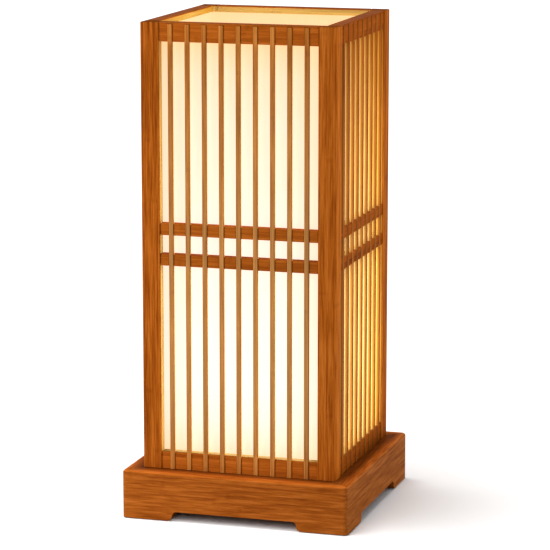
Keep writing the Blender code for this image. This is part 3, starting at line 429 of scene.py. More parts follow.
def bamboo(
    name,
    along,
    colour,
    timber,
    painted_side_colour=None,
    strip=None,
    shift=0.0,
    contrast=1.0,
    bands=0.30,
    fibre=1.0,
    bare=False,
    shading=None,
):
    """Laminated bamboo whose fibres run along X, Y or Z."""
    look = Finish(name)
    x, y, z = look.split(look.place)
    across, depth, length = {"X": (z, y, x), "Y": (z, x, y), "Z": (x, y, z)}[along]
    strip = strip or timber.strip

    # Each strip has its own tone, and its own place for the joints of the cane.
    steps = look.math("DIVIDE", look.math("ADD", across, shift), strip)
    column = look.math("FLOOR", steps)
    deep_width = strip if shift else 3 * strip
    layer = look.math("FLOOR", look.math("DIVIDE", look.math("ADD", depth, shift), deep_width))
    tone = look.hashed(look.join(column, layer, 3.0))
    offset = look.hashed(look.join(layer, column, 8.0))

    # Fibres: long and thin, in broad streaks, in fine lines and in dark hairs.
    slid = look.math("ADD", length, look.math("MULTIPLY", tone, 4.0))
    grain = look.join(across, depth, slid)
    tight = fibre ** -0.6
    broad = look.noise(look.scaled(grain, 210 * tight, 210 * tight, 14.0 / fibre), detail=3.0)
    fine = look.noise(look.scaled(grain, 800, 800, 32.0 / fibre), detail=5.0, roughness=0.62)
    hair = look.noise(look.scaled(grain, 2200, 2200, 70.0 / fibre), detail=2.0)
    hair = look.rise(hair, 0.60, 0.76)

    # Joints of the cane: a wavering dark line across one strip.
    waver = look.noise(look.scaled(grain, 420, 420, 30.0), detail=2.0)
    run = look.math("ADD", look.math("DIVIDE", slid, timber.joint_spacing), offset)
    run = look.math("ADD", run, look.math("MULTIPLY", waver, 0.016))
    near = look.off_middle(run)
    joint = look.rise(near, 0.003, 0.013, 1.0, 0.0)
    halo = look.rise(near, 0.010, 0.045, 1.0, 0.0)

    # Glue lines between the strips.
    seam = look.rise(look.off_middle(steps), 0.470, 0.495)

    # All of it together, from dark to pale.
    value = look.weigh(
        0.5,
        (look.centred(fine), 1.25 * contrast),
        (look.centred(broad), 0.90 * contrast),
        (look.centred(tone), bands),
        (halo, 0.03),
        (hair, -0.16),
        (joint, -0.09),
        (seam, -0.05),
    )
    tint = wood_tones(look, value, colour)
    # Faces that look left or right take their own tone: painted light and shade for those sides, and
    # on the base partly a darker board.
    if painted_side_colour is not None:
        sideways = look.math("ABSOLUTE", look.split(look.normal)[0])
        sideways = look.rise(sideways, 0.05, 0.98)
        tint = look.blend(sideways, tint, wood_tones(look, value, painted_side_colour))

    # End grain drinks more lacquer, and sanded edges show paler wood.
    end = look.math("ABSOLUTE", look.split(look.normal)["XYZ".index(along)])
    end = look.rise(end, 0.75, 0.95)
    tint = look.blend(look.math("MULTIPLY", end, 0.30), tint, shade_of(colour, 0.35))
    rub = look.math("MULTIPLY", look.edges(0.0011), look.rise(broad, 0.32, 0.66, 0.15, 0.55))
    tint = look.blend(rub, tint, shade_of(colour, 1.12, 0.002))

    # Faces that look at the shade are unstained bamboo and take painted lamplight: golden deep in,
    # darker near their face, tinted along the left and right sides.
    if bare:
        edge, deep = (
            look.ramp(value, (0.2, shade_of(lamplit_tone, 0.78)), (0.8, shade_of(lamplit_tone, 1.18)))
            for lamplit_tone in (timber.reveal_edge, timber.reveal)
        )
        pale = look.blend(look.rise(inset(look), 0.0006, 0.0028), edge, deep)
        pale = look.blend(on_left_or_right(look), pale, lamp_tint(look), "MULTIPLY")
        tint = look.blend(inner_faces(look), tint, pale)
    # Painted light and shade, where the piece is given some.
    if shading:
        tint = look.blend(1.0, tint, shading(look), "MULTIPLY")

    rough = look.math("MULTIPLY_ADD", fine, 0.22, timber.satin - 0.11)
    look.set(
        Base_Color=tint,
        Roughness=look.math("MULTIPLY_ADD", end, 0.15, rough),
        Specular_IOR_Level=timber.gloss,
    )
    height = look.weigh(fine, (hair, -0.5), (joint, 0.5), (seam, -0.7))
    look.bump(height, 0.30, 0.00025)
    return look


def wood_tones(look, value, colour):
    """From the dark fibres of a wood to its pale ones."""
    red, green, blue = colour
    return look.ramp(
        value,
        (0.0, (red * 0.50, green * 0.40, blue * 0.35)),
        (0.35, (red * 0.82, green * 0.76, blue * 0.70)),
        (0.58, (red * 1.06, green * 1.06, blue * 1.05)),
        (1.0, (min(1.0, red * 1.48), green * 1.68, blue * 2.30 + 0.003)),
    )


def inset(look):
    """How far a place lies behind the face of the posts."""
    x, y, _ = look.split(look.place)
    wide = look.math("MAXIMUM", look.math("ABSOLUTE", x), look.math("ABSOLUTE", y))
    return look.math("SUBTRACT", HALF_BODY, wide)


def on_left_or_right(look):
    """1 on the left and right of the body and 0 on its front and back."""
    x, y, _ = look.split(look.place)
    return look.math("GREATER_THAN", look.math("ABSOLUTE", x), look.math("ABSOLUTE", y))


def facing_up(look, low, high):
    """1 on the faces that look up."""
    return look.rise(look.split(look.normal)[2], low, high)


def share_of_height(look, low, high):
    """Height over a box's foot, as a share of the box's height."""
    z = look.split(look.place)[2]
    return look.math("DIVIDE", look.math("SUBTRACT", z, low.z), high.z - low.z)


def inner_faces(look):
    """1 on the faces behind the front of the posts that look at the shade or into it."""
    x, y, z = look.split(look.place)
    normal_x, normal_y, _ = look.split(look.normal)
    out_x = look.math("MULTIPLY", normal_x, look.math("SIGN", x))
    out_y = look.math("MULTIPLY", normal_y, look.math("SIGN", y))
    turn = look.math("SUBTRACT", out_x, out_y)
    outwards = look.math("MULTIPLY_ADD", on_left_or_right(look), turn, out_y)
    turned = look.rise(outwards, 0.25, 0.60, 1.0, 0.0)
    behind = look.rise(inset(look), 0.0003, 0.0012)
    below = look.rise(z, BODY_TOP - 0.0012, BODY_TOP - 0.0004, 1.0, 0.0)
    return look.math("MULTIPLY", turned, look.math("MULTIPLY", behind, below))


def painted_foot_shade(look):
    """Share of the tone on the posts and rails, with painted shade: dark low on the left and right,
    more so towards the back, and on the sill.
    """
    _, y, z = look.split(look.place)
    # Painted shade in the corner over the base, on the left and right, deepening towards the back.
    dark = look.rise(look.math("SUBTRACT", z, BASE_TOP), 0.0, 0.012, 0.48, 0.0)
    dark = look.math("MULTIPLY", dark, look.rise(y, -HALF_BODY, 0.03, 0.35, 1.0))
    share = look.math("SUBTRACT", 1.0, look.math("MULTIPLY", on_left_or_right(look), dark))
    # Painted shade on the sill, the top face of the bottom rail.
    sill = look.rise(z, BOTTOM_RAIL_TOP + 0.001, BOTTOM_RAIL_TOP + 0.002, 0.5, 0.0)
    sill = look.math("MULTIPLY", facing_up(look, 0.5, 0.8), sill)
    return look.math("MULTIPLY", share, look.math("SUBTRACT", 1.0, sill))


def painted_slat_light(look):
    """Share of a slat's tone, with painted light and shade: paler over the front and back rails,
    darker low down.
    """
    z = look.split(look.place)[2]
    facing = look.math("SUBTRACT", 1.0, on_left_or_right(look))
    low = look.rise(z, BOTTOM_RAIL_TOP - 0.001, BOTTOM_RAIL_TOP + 0.003, 1.0, 0.0)
    high = look.rise(z, TOP_RAIL_FOOT - 0.003, TOP_RAIL_FOOT + 0.001)
    over = look.math("MULTIPLY", facing, look.math("ADD", low, high))
    return look.math("MULTIPLY", painted_foot_shade(look), look.math("MULTIPLY_ADD", over, 0.22, 0.97))


def painted_ledge_light(look):
    """Share of the tone on the base's ledge: painted shade beside the body and a painted highlight at
    its rounded edge.
    """
    y = look.split(look.place)[1]
    out = look.math("MULTIPLY", inset(look), -1.0)
    # Painted shade beside the body, rising to a painted highlight at the edge; the left and right
    # differ from the front past the corner.
    front = look.rise(out, 0.0, 0.0115, 0.60, 1.55)
    side = look.rise(out, 0.003, 0.0132, 0.42, 1.25)
    past_corner = look.rise(y, -HALF_BODY - 0.006, -0.045)
    sideways = look.math("MULTIPLY", on_left_or_right(look), past_corner)
    share = look.math("MULTIPLY_ADD", sideways, look.math("SUBTRACT", side, front), front)
    change = look.math("SUBTRACT", share, 1.0)
    return look.math("MULTIPLY_ADD", facing_up(look, 0.25, 0.75), change, 1.0)


def lamp_tint(look):
    """Colour of the lamp's light on the left and right sides: palest beside the lamp."""
    y = look.split(look.place)[1]
    across = look.ramp(
        look.math("MULTIPLY_ADD", y, 0.5 / HALF_OPENING, 0.5),
        (0.08, (0.84, 0.78, 0.62)),
        (0.36, (1.00, 1.00, 0.90)),
        (0.60, (1.03, 1.12, 1.25)),
        (0.90, (1.00, 0.92, 0.60)),
    )
    level = look.ramp(
        share_of_height(look, PANEL_LOW, PANEL_HIGH),
        (0.00, (1.00, 1.00, 0.95)),
        (0.30, (1.00, 1.06, 1.15)),
        (0.60, (1.00, 0.98, 0.90)),
        (1.00, (0.95, 0.85, 0.62)),
    )
    return look.blend(1.0, across, level, "MULTIPLY")


def lamp_glow(look):
    """How brightly the shade is lit at each height: most beside the lamp, low down."""
    stops = [(place, (level, level, level)) for place, level in LAMP_LEVELS]
    return look.ramp(share_of_height(look, PANEL_LOW, PANEL_HIGH), *stops)


def slat_bamboo(timber, shade, pitch, run):
    """Bamboo of the slats, one strip to a slat, whose faces show a little of the lamp's light."""
    look = bamboo(
        "bamboo_slat_upright",
        "Z",
        timber.slat,
        timber,
        painted_side_colour=timber.slat_side,
        strip=pitch,
        shift=run / 2 + pitch / 2,
        bands=0.12,
        bare=True,
        shading=painted_slat_light,
    )
    facing = look.math("ABSOLUTE", look.split(look.normal)[1])
    glow = look.math("MULTIPLY", lamp_glow(look), look.rise(facing, 0.5, 0.8))
    glow = look.math("MULTIPLY", glow, look.math("SUBTRACT", 1.0, inner_faces(look)))
    look.set(
        Emission_Color=(*shade.glare_colour, 1.0),
        Emission_Strength=look.math("MULTIPLY", glow, shade.glare),
    )
    return look.material


def lit_sheet(name, shade):
    """The shade's translucent sheet, lit from inside by the lamp."""
    look = Finish(name)
    x, y, _ = look.split(look.place)
    cloud = look.noise(look.place, 38.0, detail=3.0)
    fibre = look.noise(look.scaled(look.place, 500, 500, 90), detail=4.0, roughness=0.6)

    # The panels stand square round the lamp, so the nearer coordinate is what lies along a panel.
    reach = look.math("MINIMUM", look.math("ABSOLUTE", x), look.math("ABSOLUTE", y))
    along = look.rise(reach, 0.030, HALF_OPENING + 0.001, 1.0, 0.66)
    glow = look.math("MULTIPLY", lamp_glow(look), along)
    glow = look.weigh(glow, (look.centred(cloud), 0.10), (look.centred(fibre), 0.06))
    light = look.ramp(glow, (0.0, shade.glow_far), (1.0, shade.glow_middle))

    sheet = shade.sheet
    look.set(
        Base_Color=look.ramp(fibre, (0.3, shade_of(sheet, 0.93)), (0.7, shade_of(sheet, 1.06))),
        Roughness=look.math("MULTIPLY_ADD", cloud, 0.16, 0.55),
        Specular_IOR_Level=0.12,
        Emission_Color=light,
        Emission_Strength=shade.strength,
    )
    look.bump(fibre, 0.10, 0.0002)
    return look.material


def opal(name, shade):
    """The lamp's opal cover, brightest at its crown."""
    look = Finish(name)
    cloud = look.noise(look.place, 120.0, detail=2.0)
    height = share_of_height(look, BULB_LOW, BULB_HIGH)
    height = look.math("MULTIPLY_ADD", cloud, 0.08, height)
    crown = look.rise(height, 0.45, 1.05, 0.22, 1.0)
    look.set(
        Base_Color=look.ramp(cloud, (0.3, (0.40, 0.37, 0.31)), (0.7, (0.43, 0.40, 0.34))),
        Roughness=look.math("MULTIPLY_ADD", cloud, 0.10, 0.30),
        Emission_Color=look.ramp(height, (0.02, (1.0, 0.62, 0.28)), (0.85, (1.0, 0.88, 0.64))),
        Emission_Strength=look.math("MULTIPLY", crown, shade.bulb),
    )
    return look.material


def metal(name, colour, rough):
    """Plated or bare metal with fine tool marks and a little tarnish."""
    look = Finish(name)
    marks = look.noise(look.scaled(look.place, 900, 900, 4200), detail=3.0)
    tarnish = look.noise(look.place, 260.0, detail=4.0)
    tint = look.ramp(tarnish, (0.30, shade_of(colour, 0.72)), (0.62, colour))
    tint = look.blend(look.math("MULTIPLY", look.edges(0.0006), 0.5), tint, shade_of(colour, 1.25))
    look.set(
        Base_Color=tint,
        Metallic=1.0,
        Roughness=look.math("MULTIPLY_ADD", marks, 0.22, rough - 0.11),
    )
    look.bump(marks, 0.12, 0.0001)
    return look.material


def plastic(name, colour, rough, gloss=0.5):
    """Moulded plastic or ceramic with a fine skin."""
    look = Finish(name)
    skin = look.noise(look.place, 2600.0, detail=2.0)
    cloud = look.noise(look.place, 140.0, detail=3.0)
    tint = look.ramp(cloud, (0.30, shade_of(colour, 0.90)), (0.70, shade_of(colour, 1.06)))
    wear = look.math("MULTIPLY", look.edges(0.0007), look.rise(cloud, 0.40, 0.65, 0.05, 0.35))
    look.set(
        Base_Color=look.blend(wear, tint, shade_of(colour, 1.3, 0.02)),
        Roughness=look.math("MULTIPLY_ADD", cloud, 0.14, rough - 0.07),
        Specular_IOR_Level=gloss,
    )
    look.bump(skin, 0.10, 0.00008)
    return look.material


def fibrous(name, colour, scale, fuzz=0.0):
    """Felt or pressed fibreboard: short fibres in every direction."""
    look = Finish(name)
    lint = look.noise(look.place, scale, detail=6.0, roughness=0.75)
    cloud = look.noise(look.place, scale / 9, detail=3.0)
    fleck = look.weigh(lint, (look.centred(cloud), 0.5))
    look.set(
        Base_Color=look.ramp(
            fleck,
            (0.25, shade_of(colour, 0.55)),
            (0.50, colour),
            (0.78, shade_of(colour, 1.6)),
        ),
        Roughness=look.math("MULTIPLY_ADD", lint, 0.15, 0.78),
        Sheen_Weight=fuzz,
    )
    look.bump(lint, 0.45, 0.0004)
    return look.material


def dress(names, material, eased=0.0, swell=0.0):
    """Gives CAD nodes a finish, joins their corners and eases their edges."""
    for name in names:
        node = frame["nodes"][name]
        node.data.materials.clear()
        node.data.materials.append(material)
        smooth_out(node, eased, swell)


def smooth_out(node, eased, swell):
    """Joins a node's corners, swells it, eases its sharp edges and evens its shading."""
    weld = node.modifiers.new("joined_corners", "WELD")
    weld.merge_threshold = WELD_REACH
    if swell:
        closed = node.modifiers.new("closed_joints", "DISPLACE")
        closed.strength = swell
        closed.mid_level = 0.0
    if eased:
        edge = node.modifiers.new("eased_edges", "BEVEL")
        edge.width = eased
        edge.segments = 2
        edge.limit_method = "ANGLE"
        edge.angle_limit = SHARP_ANGLE
        edge.use_clamp_overlap = False
    even = node.modifiers.new("even_shading", "WEIGHTED_NORMAL")
    even.keep_sharp = False
    even.weight = 80


def turned_to(number):
    """Turns the front to one of the four sides."""
    return Matrix.Rotation(number * QUARTER_TURN, 4, "Z")


def on_side(number):
    """From a side's frame, X along it, Y inwards from the posts' face and Z up, to the model's."""
    return turned_to(number) @ Matrix.Translation((0.0, -HALF_BODY, 0.0))


def new_piece(name, bm, material, body="lantern", stands_for=()):
    """Makes a piece that rides on a body and stands for CAD nodes."""
    bmesh.ops.recalc_face_normals(bm, faces=bm.faces[:])
    mesh = bpy.data.meshes.new(name)
    bm.to_mesh(mesh)
    bm.free()
    mesh.materials.append(material)
    made = bpy.data.objects.new(name, mesh)
    bpy.context.scene.collection.objects.link(made)
    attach(made, body)
    if stands_for:
        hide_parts(*stands_for)
    return made


def add_box(bm, low, high):
    """A block between two corners."""
    low, high = Vector(low), Vector(high)
    place = Matrix.Translation((low + high) / 2) @ Matrix.Diagonal((*(high - low), 1.0))
    bmesh.ops.create_cube(bm, size=1.0, matrix=place)


def add_prism(bm, outline, low, high):
    """A flat outline of (across, inwards) points drawn up from one level to another."""
    face = bm.faces.new([bm.verts.new((across, inwards, low)) for across, inwards in outline])
    drawn = bmesh.ops.extrude_face_region(bm, geom=[face])["geom"]
    ends = [item for item in drawn if isinstance(item, bmesh.types.BMVert)]
    bmesh.ops.translate(bm, verts=ends, vec=(0, 0, high - low))


def ease_all(bm, width):
    """Rounds every edge."""
    bmesh.ops.bevel(
        bm,
        geom=bm.edges[:],
        offset=width,
        offset_type="OFFSET",
        segments=2,
        profile=0.5,
        affect="EDGES",
        clamp_overlap=True,
    )


def receivers(name, starts):
    """A collection of the meshes whose names start in one of these ways, for lights to reach."""
    group = bpy.data.collections.new(name)
    for key, node in bpy.data.objects.items():
        if node.type == "MESH" and key.startswith(starts):
            group.objects.link(node)
    return group


def add_light(name, kind, power):
    """A light that the camera doesn't see."""
    light = bpy.data.objects.new(name, bpy.data.lights.new(name, kind))
    light.data.energy = power
    light.visible_camera = False
    bpy.context.scene.collection.objects.link(light)
    return light


def seen_rays(tree):
    """1 for rays that look at the ground, straight or in a mirror or a glass."""
    path = tree.nodes.new("ShaderNodeLightPath")
    total = path.outputs["Is Camera Ray"]
    for name in ("Is Glossy Ray", "Is Transmission Ray"):
        either = tree.nodes.new("ShaderNodeMath")
        either.operation = "MAXIMUM"
        tree.links.new(total, either.inputs[0])
        tree.links.new(path.outputs[name], either.inputs[1])
        total = either.outputs[0]
    return total


def direction_to(azimuth, elevation):
    """Unit vector from the lantern to a place round it."""
    level = math.cos(elevation)
    return Vector((math.sin(azimuth) * level, -math.cos(azimuth) * level, math.sin(elevation)))


def look_along(item, direction):
    """Turns a light or the camera to look in a direction."""
    item.rotation_mode = "QUATERNION"
    item.rotation_quaternion = direction.to_track_quat("-Z", "Y")


class LANTERN_OT_finish_posts(Operator):
    """Gives the four corner posts their upright grain"""

    bl_idname = "lantern.finish_posts"
    bl_label = "Finish Posts"

    def execute(self, context):
        timber = context.scene.lantern_timber
        wood = bamboo(
            "bamboo_post_upright",
            "Z",
            timber.post,
            timber,
            painted_side_colour=timber.post_side,
            contrast=1.7,
            bare=True,
            shading=painted_foot_shade,
        ).material
        dress([f"post_{corner}" for corner in CORNERS], wood, timber.eased_edge)
        return {"FINISHED"}


class LANTERN_OT_finish_rails(Operator):
    """Gives the top and bottom rails their level grain"""

    bl_idname = "lantern.finish_rails"
    bl_label = "Finish Rails"

    def execute(self, context):
        timber = context.scene.lantern_timber
        for along, sides in SIDES_ALONG.items():
            wood = bamboo(
                f"bamboo_rail_{along.lower()}",
                along,
                timber.rail,
                timber,
                painted_side_colour=timber.rail_side,
                bare=True,
                shading=painted_foot_shade,
            ).material
            names = [f"{level}_rail_{side}" for level in ("top", "bottom") for side in sides]
            dress(names, wood, timber.eased_edge * RAIL_EASE)
        return {"FINISHED"}


class LANTERN_OT_lay_grilles(Operator):
    """Lays the slats of each side over its two notched belt rails"""

    bl_idname = "lantern.lay_grilles"
    bl_label = "Lay Grilles"

    def execute(self, context):
        timber = context.scene.lantern_timber
        sizes = context.scene.lantern_grille
        run = 2 * (HALF_OPENING - sizes.end_gap) - sizes.width
        pitch = run / (sizes.count - 1)
        places = [pitch * number - run / 2 for number in range(sizes.count)]
        slat_wood = slat_bamboo(timber, context.scene.lantern_shade, pitch, run)
        belt_wood = {}
        for along, sides in SIDES_ALONG.items():
            name = f"bamboo_belt_{along.lower()}"
            wood = bamboo(name, along, timber.belt, timber, painted_side_colour=timber.belt_side)
            belt_wood.update(dict.fromkeys(sides, wood.material))

        outline = self.belt_outline(sizes, places)
        middle = BASE_TOP + sizes.belt_middle
        upper = middle + sizes.belt_gap / 2
        lower = middle - sizes.belt_gap / 2 - sizes.belt_height
        for number, side in enumerate(SIDES):
            grille = [f"grille_{side}"]
            bm = bmesh.new()
            for place in places:
                add_box(
                    bm,
                    (place - sizes.width / 2, sizes.setback, GRILLE_LOW.z),
                    (place + sizes.width / 2, sizes.setback + sizes.depth, GRILLE_HIGH.z),
                )
            ease_all(bm, timber.eased_edge * SLAT_EASE)
            bm.transform(on_side(number))
            new_piece(f"slats_{side}", bm, slat_wood, stands_for=grille)

            bm = bmesh.new()
            for level in (upper, lower):
                add_prism(bm, outline, level, level + sizes.belt_height)
            ease_all(bm, timber.eased_edge * BELT_EASE)
            bm.transform(on_side(number))
            new_piece(f"belt_rails_{side}", bm, belt_wood[side], stands_for=grille)
        return {"FINISHED"}

    def belt_outline(self, sizes, places):
        """A belt rail from above, with a notch for every slat."""
        end = HALF_OPENING - sizes.glue_gap
        notch = sizes.setback + sizes.depth + sizes.glue_gap
        half = sizes.width / 2 + sizes.glue_gap
        outline = [(-end, sizes.belt_setback)]
        for place in places:
            outline += [
                (place - half, sizes.belt_setback),
                (place - half, notch),
                (place + half, notch),
                (place + half, sizes.belt_setback),
            ]
        outline += [(end, sizes.belt_setback), (end, sizes.belt_back), (-end, sizes.belt_back)]
        return outline


class LANTERN_OT_light_shade(Operator):
    """Makes the shade panels glow and throws their light on the slats"""

    bl_idname = "lantern.light_shade"
    bl_label = "Light Shade"

    def execute(self, context):
        shade = context.scene.lantern_shade
        names = [f"shade_panel_{side}" for side in SIDES]
        dress(names, lit_sheet("shade_sheet_lit", shade))
        lit = receivers("lit_by_the_shade", "")
        beside = receivers("beside_the_shade", ("slats_", "post_", "top_rail_", "bottom_rail_"))
        rim = receivers("lit_by_the_lamp", ("top_rail_", "post_"))
        for number, side in enumerate(SIDES):
            frame["nodes"][f"shade_panel_{side}"].light_linking.receiver_collection = lit
            lamp = self.spill_light(f"shade_light_{side}", shade)
            lamp.matrix_world = turned_to(number) @ lamp.matrix_world
            lamp.light_linking.receiver_collection = beside
        lamp = self.rim_light("lamp_light", shade)
        lamp.light_linking.receiver_collection = rim
        return {"FINISHED"}

    def spill_light(self, name, shade):
        """What the front panel throws outwards, most of it beside the lamp."""
        lamp = add_light(name, "AREA", shade.spill)
        light = lamp.data
        light.shape = "RECTANGLE"
        light.size = 2 * (HALF_OPENING - bpy.context.scene.lantern_grille.end_gap)
        light.size_y = PANEL_HIGH.z - PANEL_LOW.z
        light.color = shade.spill_colour
        light.use_nodes = True
        nodes, links = light.node_tree.nodes, light.node_tree.links
        surface = nodes.new("ShaderNodeNewGeometry")
        apart = nodes.new("ShaderNodeSeparateXYZ")
        fade = nodes.new("ShaderNodeValToRGB")
        points = fade.color_ramp.elements
        points[0].color = (*shade.spill_top, 1.0)
        points[1].position = 0.5
        links.new(surface.outputs["Parametric"], apart.inputs[0])
        links.new(apart.outputs["Y"], fade.inputs["Fac"])
        links.new(fade.outputs["Color"], nodes["Emission"].inputs["Color"])
        before = Vector((0.0, PANEL_LOW.y - SPILL_GAP, (PANEL_LOW.z + PANEL_HIGH.z) / 2))
        lamp.matrix_world = Matrix.Translation(before) @ Matrix.Rotation(-QUARTER_TURN, 4, "X")
        return lamp

    def rim_light(self, name, shade):
        """What the lamp throws up inside the shade."""
        lamp = add_light(name, "POINT", shade.rim)
        lamp.data.color = shade.rim_colour
        lamp.data.shadow_soft_size = RIM_LIGHT_RADIUS
        lamp.location.z = BODY_TOP - RIM_LIGHT_DEPTH
        return lamp


class LANTERN_OT_finish_base(Operator):
    """Finishes the base boards, the deck and what is under them"""

    bl_idname = "lantern.finish_base"
    bl_label = "Finish Base"

    def execute(self, context):
        timber = context.scene.lantern_timber
        fittings = context.scene.lantern_fittings
        for along, sides in SIDES_ALONG.items():
            wood = bamboo(
                f"bamboo_base_{along.lower()}",
                along,
                timber.base,
                timber,
                painted_side_colour=timber.base_side,
                contrast=1.3,
                bands=0.08,
                fibre=0.65,
                shading=painted_ledge_light,
            ).material
            names = [f"base_board_{side}" for side in sides]
            dress(names, wood, timber.eased_edge * BASE_EASE, timber.joint_fill)
        bare = bamboo("bamboo_bare", "X", timber.inner, timber).material
        dress(["base_deck"], bare, timber.eased_edge * BOARD_EASE)
        dress([f"corner_block_{corner}" for corner in CORNERS], bare)
        board = fibrous("fibreboard_pressed", fittings.fibreboard, 900.0)
        dress(["bottom_cover"], board, timber.eased_edge * BOARD_EASE)
        felt = fibrous("felt_pad", fittings.felt, 2200.0, fuzz=0.4)
        dress([f"foot_pad_{corner}" for corner in CORNERS], felt)
        return {"FINISHED"}


class LANTERN_OT_finish_fixings(Operator):
    """Finishes the screws, the nipple and its nut, and the cord gland"""

    bl_idname = "lantern.finish_fixings"
    bl_label = "Finish Fixings"

    def execute(self, context):
        fittings = context.scene.lantern_fittings
        steel = metal("zinc_plate", fittings.steel, 0.38)
        names = [f"{kind}_screw_{corner}" for kind in ("post", "cover") for corner in CORNERS]
        dress(names + ["nipple", "nipple_nut"], steel)
        black = plastic("plastic_black", fittings.dark_plastic, 0.45, gloss=0.4)
        dress(["cord_gland", "cord_gland_nut"], black, PLASTIC_EDGE)
        return {"FINISHED"}


class LANTERN_OT_fit_lampholder(Operator):
    """Finishes the lampholder, the terminal block and the two leads"""

    bl_idname = "lantern.fit_lampholder"
    bl_label = "Fit Lampholder"

    def execute(self, context):
        fittings = context.scene.lantern_fittings
        black = bpy.data.materials["plastic_black"]
        brass = metal("brass_bare", fittings.brass, 0.34)
        nickel = metal("nickel_plate", fittings.nickel, 0.26)
        pale = fittings.pale_plastic
        dress(["lampholder_cap", "lampholder_skirt"], black)
        glazed = plastic("ceramic_glazed", shade_of(pale, 0.98), 0.22)
        dress(["lampholder_insert"], glazed)
        dress(["lampholder_centre_contact"], brass)
        dress(["lampholder_screw_shell"], nickel)
        white = plastic("plastic_white", pale, 0.40)
        dress(["terminal_block"], white, PLASTIC_EDGE)
        brown = plastic("sleeve_brown", fittings.live_sleeve, 0.42)
        dress(["lead_live"], brown)
        blue = plastic("sleeve_blue", fittings.neutral_sleeve, 0.42)
        dress(["lead_neutral"], blue)
        return {"FINISHED"}


class LANTERN_OT_fit_bulb(Operator):
    """Finishes the screw-in lamp and lights its opal cover"""

    bl_idname = "lantern.fit_bulb"
    bl_label = "Fit Bulb"

    def execute(self, context):
        fittings = context.scene.lantern_fittings
        dress(["bulb_contact"], bpy.data.materials["brass_bare"])
        glass = plastic("glass_black", fittings.black_glass, 0.16)
        dress(["bulb_insulator"], glass)
        dress(["bulb_screw_cap"], bpy.data.materials["nickel_plate"])
        dress(["bulb_housing"], bpy.data.materials["plastic_white"])
        board = plastic("light_board_coat", fittings.light_board, 0.36)
        dress(["bulb_light_board"], board)
        dress(["bulb_diffuser"], opal("opal_lit", context.scene.lantern_shade))
        return {"FINISHED"}


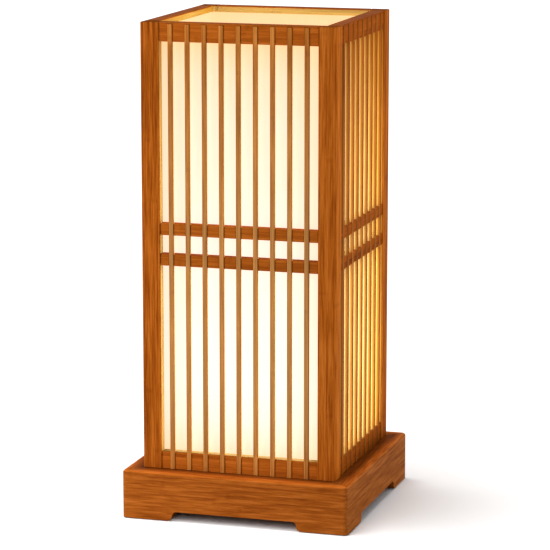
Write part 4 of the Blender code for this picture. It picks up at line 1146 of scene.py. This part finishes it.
class LANTERN_OT_set_stage(Operator):
    """Lays the floor and sets the lights and the camera"""

    bl_idname = "lantern.set_stage"
    bl_label = "Set Stage"

    def execute(self, context):
        scene = context.scene
        stage = scene.lantern_stage
        floor = self.lay_floor(scene, stage)
        self.light_sky(scene, stage)
        ground = bpy.data.collections.new("lit_by_the_key")
        ground.objects.link(floor)
        body = bpy.data.collections["lit_by_the_shade"]
        self.add_key(stage, ground)
        self.add_softbox("low_light", stage.low, LOW_PLACE, LOW_SIZE, LOW_AIM, ground)
        self.add_softbox("softbox_left", stage.softbox, SOFTBOX_PLACE, SOFTBOX_SIZE, MIDDLE, body)
        self.add_softbox("softbox_right", stage.fill, FILL_PLACE, FILL_SIZE, MIDDLE, body)
        self.place_camera(scene, stage)
        scene.view_settings.view_transform = "Standard"
        return {"FINISHED"}

    def lay_floor(self, scene, stage):
        """A round floor that shows paler than the light it throws back."""
        look = Finish("floor_pale")
        cloud = look.noise(look.place, 2.0, detail=2.0)
        pale = stage.floor
        tint = look.ramp(cloud, (0.0, shade_of(pale, 0.99)), (1.0, shade_of(pale, 1.01)))
        look.set(
            Base_Color=look.blend(seen_rays(look.tree), shade_of(pale, stage.bounce), tint),
            Roughness=0.9,
            Specular_IOR_Level=0.0,
        )
        bm = bmesh.new()
        bmesh.ops.create_circle(bm, cap_ends=True, segments=96, radius=FLOOR_RADIUS)
        mesh = bpy.data.meshes.new("floor")
        bm.to_mesh(mesh)
        bm.free()
        mesh.materials.append(look.material)
        floor = bpy.data.objects.new("floor", mesh)
        floor.location.z = CAD_LOW.z
        scene.collection.objects.link(floor)
        return floor

    def light_sky(self, scene, stage):
        """Even light from all round, and white where the room is seen."""
        scene.world = bpy.data.worlds.new("pale_room")
        scene.world.use_nodes = True
        tree = scene.world.node_tree
        level = tree.nodes.new("ShaderNodeMapRange")
        tree.links.new(seen_rays(tree), level.inputs["Value"])
        level.inputs["To Min"].default_value = stage.sky
        level.inputs["To Max"].default_value = 1.0
        room = tree.nodes["Background"]
        room.inputs["Color"].default_value = (1.0, 1.0, 1.0, 1.0)
        tree.links.new(level.outputs["Result"], room.inputs["Strength"])

    def add_key(self, stage, lit):
        """A broad distant light from the left of the picture that casts the soft shadow."""
        towards = direction_to(stage.azimuth - QUARTER_TURN, KEY_ELEVATION)
        sun = add_light("key_light", "SUN", stage.key)
        sun.data.angle = KEY_SPREAD
        sun.location = towards
        look_along(sun, -towards)
        sun.light_linking.receiver_collection = lit

    def add_softbox(self, name, power, place, size, aim, lit):
        """A near light with a width and a height that looks at a point."""
        box = add_light(name, "AREA", power)
        box.data.shape = "RECTANGLE"
        box.data.size, box.data.size_y = size
        box.location = place
        look_along(box, aim - place)
        box.light_linking.receiver_collection = lit

    def place_camera(self, scene, stage):
        """The photograph's point of view."""
        camera = bpy.data.objects.new("camera", bpy.data.cameras.new("camera"))
        camera.data.lens = stage.lens
        camera.data.sensor_width = SENSOR_WIDTH
        camera.data.sensor_fit = "AUTO"
        camera.data.clip_end = 100.0
        back = direction_to(stage.azimuth, stage.elevation)
        camera.location = Vector(stage.target) + back * stage.distance
        look_along(camera, -back)
        scene.collection.objects.link(camera)
        scene.camera = camera


class LANTERN_PT_sidebar(Panel):
    """Settings of the lantern and the steps that finish it"""

    bl_idname = "LANTERN_PT_sidebar"
    bl_label = "Bamboo Lantern"
    bl_space_type = "VIEW_3D"
    bl_region_type = "UI"
    bl_category = "Lantern"

    def draw(self, context):
        for name, group in SETTINGS.items():
            box = self.layout.box()
            box.label(text=group.__doc__)
            for key in group.__annotations__:
                box.prop(getattr(context.scene, name), key)
        for step in STEPS:
            self.layout.operator(step.bl_idname)


SETTINGS = {
    "lantern_timber": LanternTimber,
    "lantern_grille": LanternGrille,
    "lantern_shade": LanternShade,
    "lantern_fittings": LanternFittings,
    "lantern_stage": LanternStage,
}
STEPS = (
    LANTERN_OT_finish_posts,
    LANTERN_OT_finish_rails,
    LANTERN_OT_lay_grilles,
    LANTERN_OT_light_shade,
    LANTERN_OT_finish_base,
    LANTERN_OT_finish_fixings,
    LANTERN_OT_fit_lampholder,
    LANTERN_OT_fit_bulb,
    LANTERN_OT_set_stage,
)


def register():
    for made in (*SETTINGS.values(), *STEPS, LANTERN_PT_sidebar):
        bpy.utils.register_class(made)
    for name, group in SETTINGS.items():
        setattr(bpy.types.Scene, name, PointerProperty(type=group))


def unregister():
    for name in SETTINGS:
        delattr(bpy.types.Scene, name)
    for made in reversed((*SETTINGS.values(), *STEPS, LANTERN_PT_sidebar)):
        bpy.utils.unregister_class(made)


def main():
    register()
    for step in STEPS:
        module, name = step.bl_idname.split(".")
        getattr(getattr(bpy.ops, module), name)()


if __name__ == "__main__":
    main()
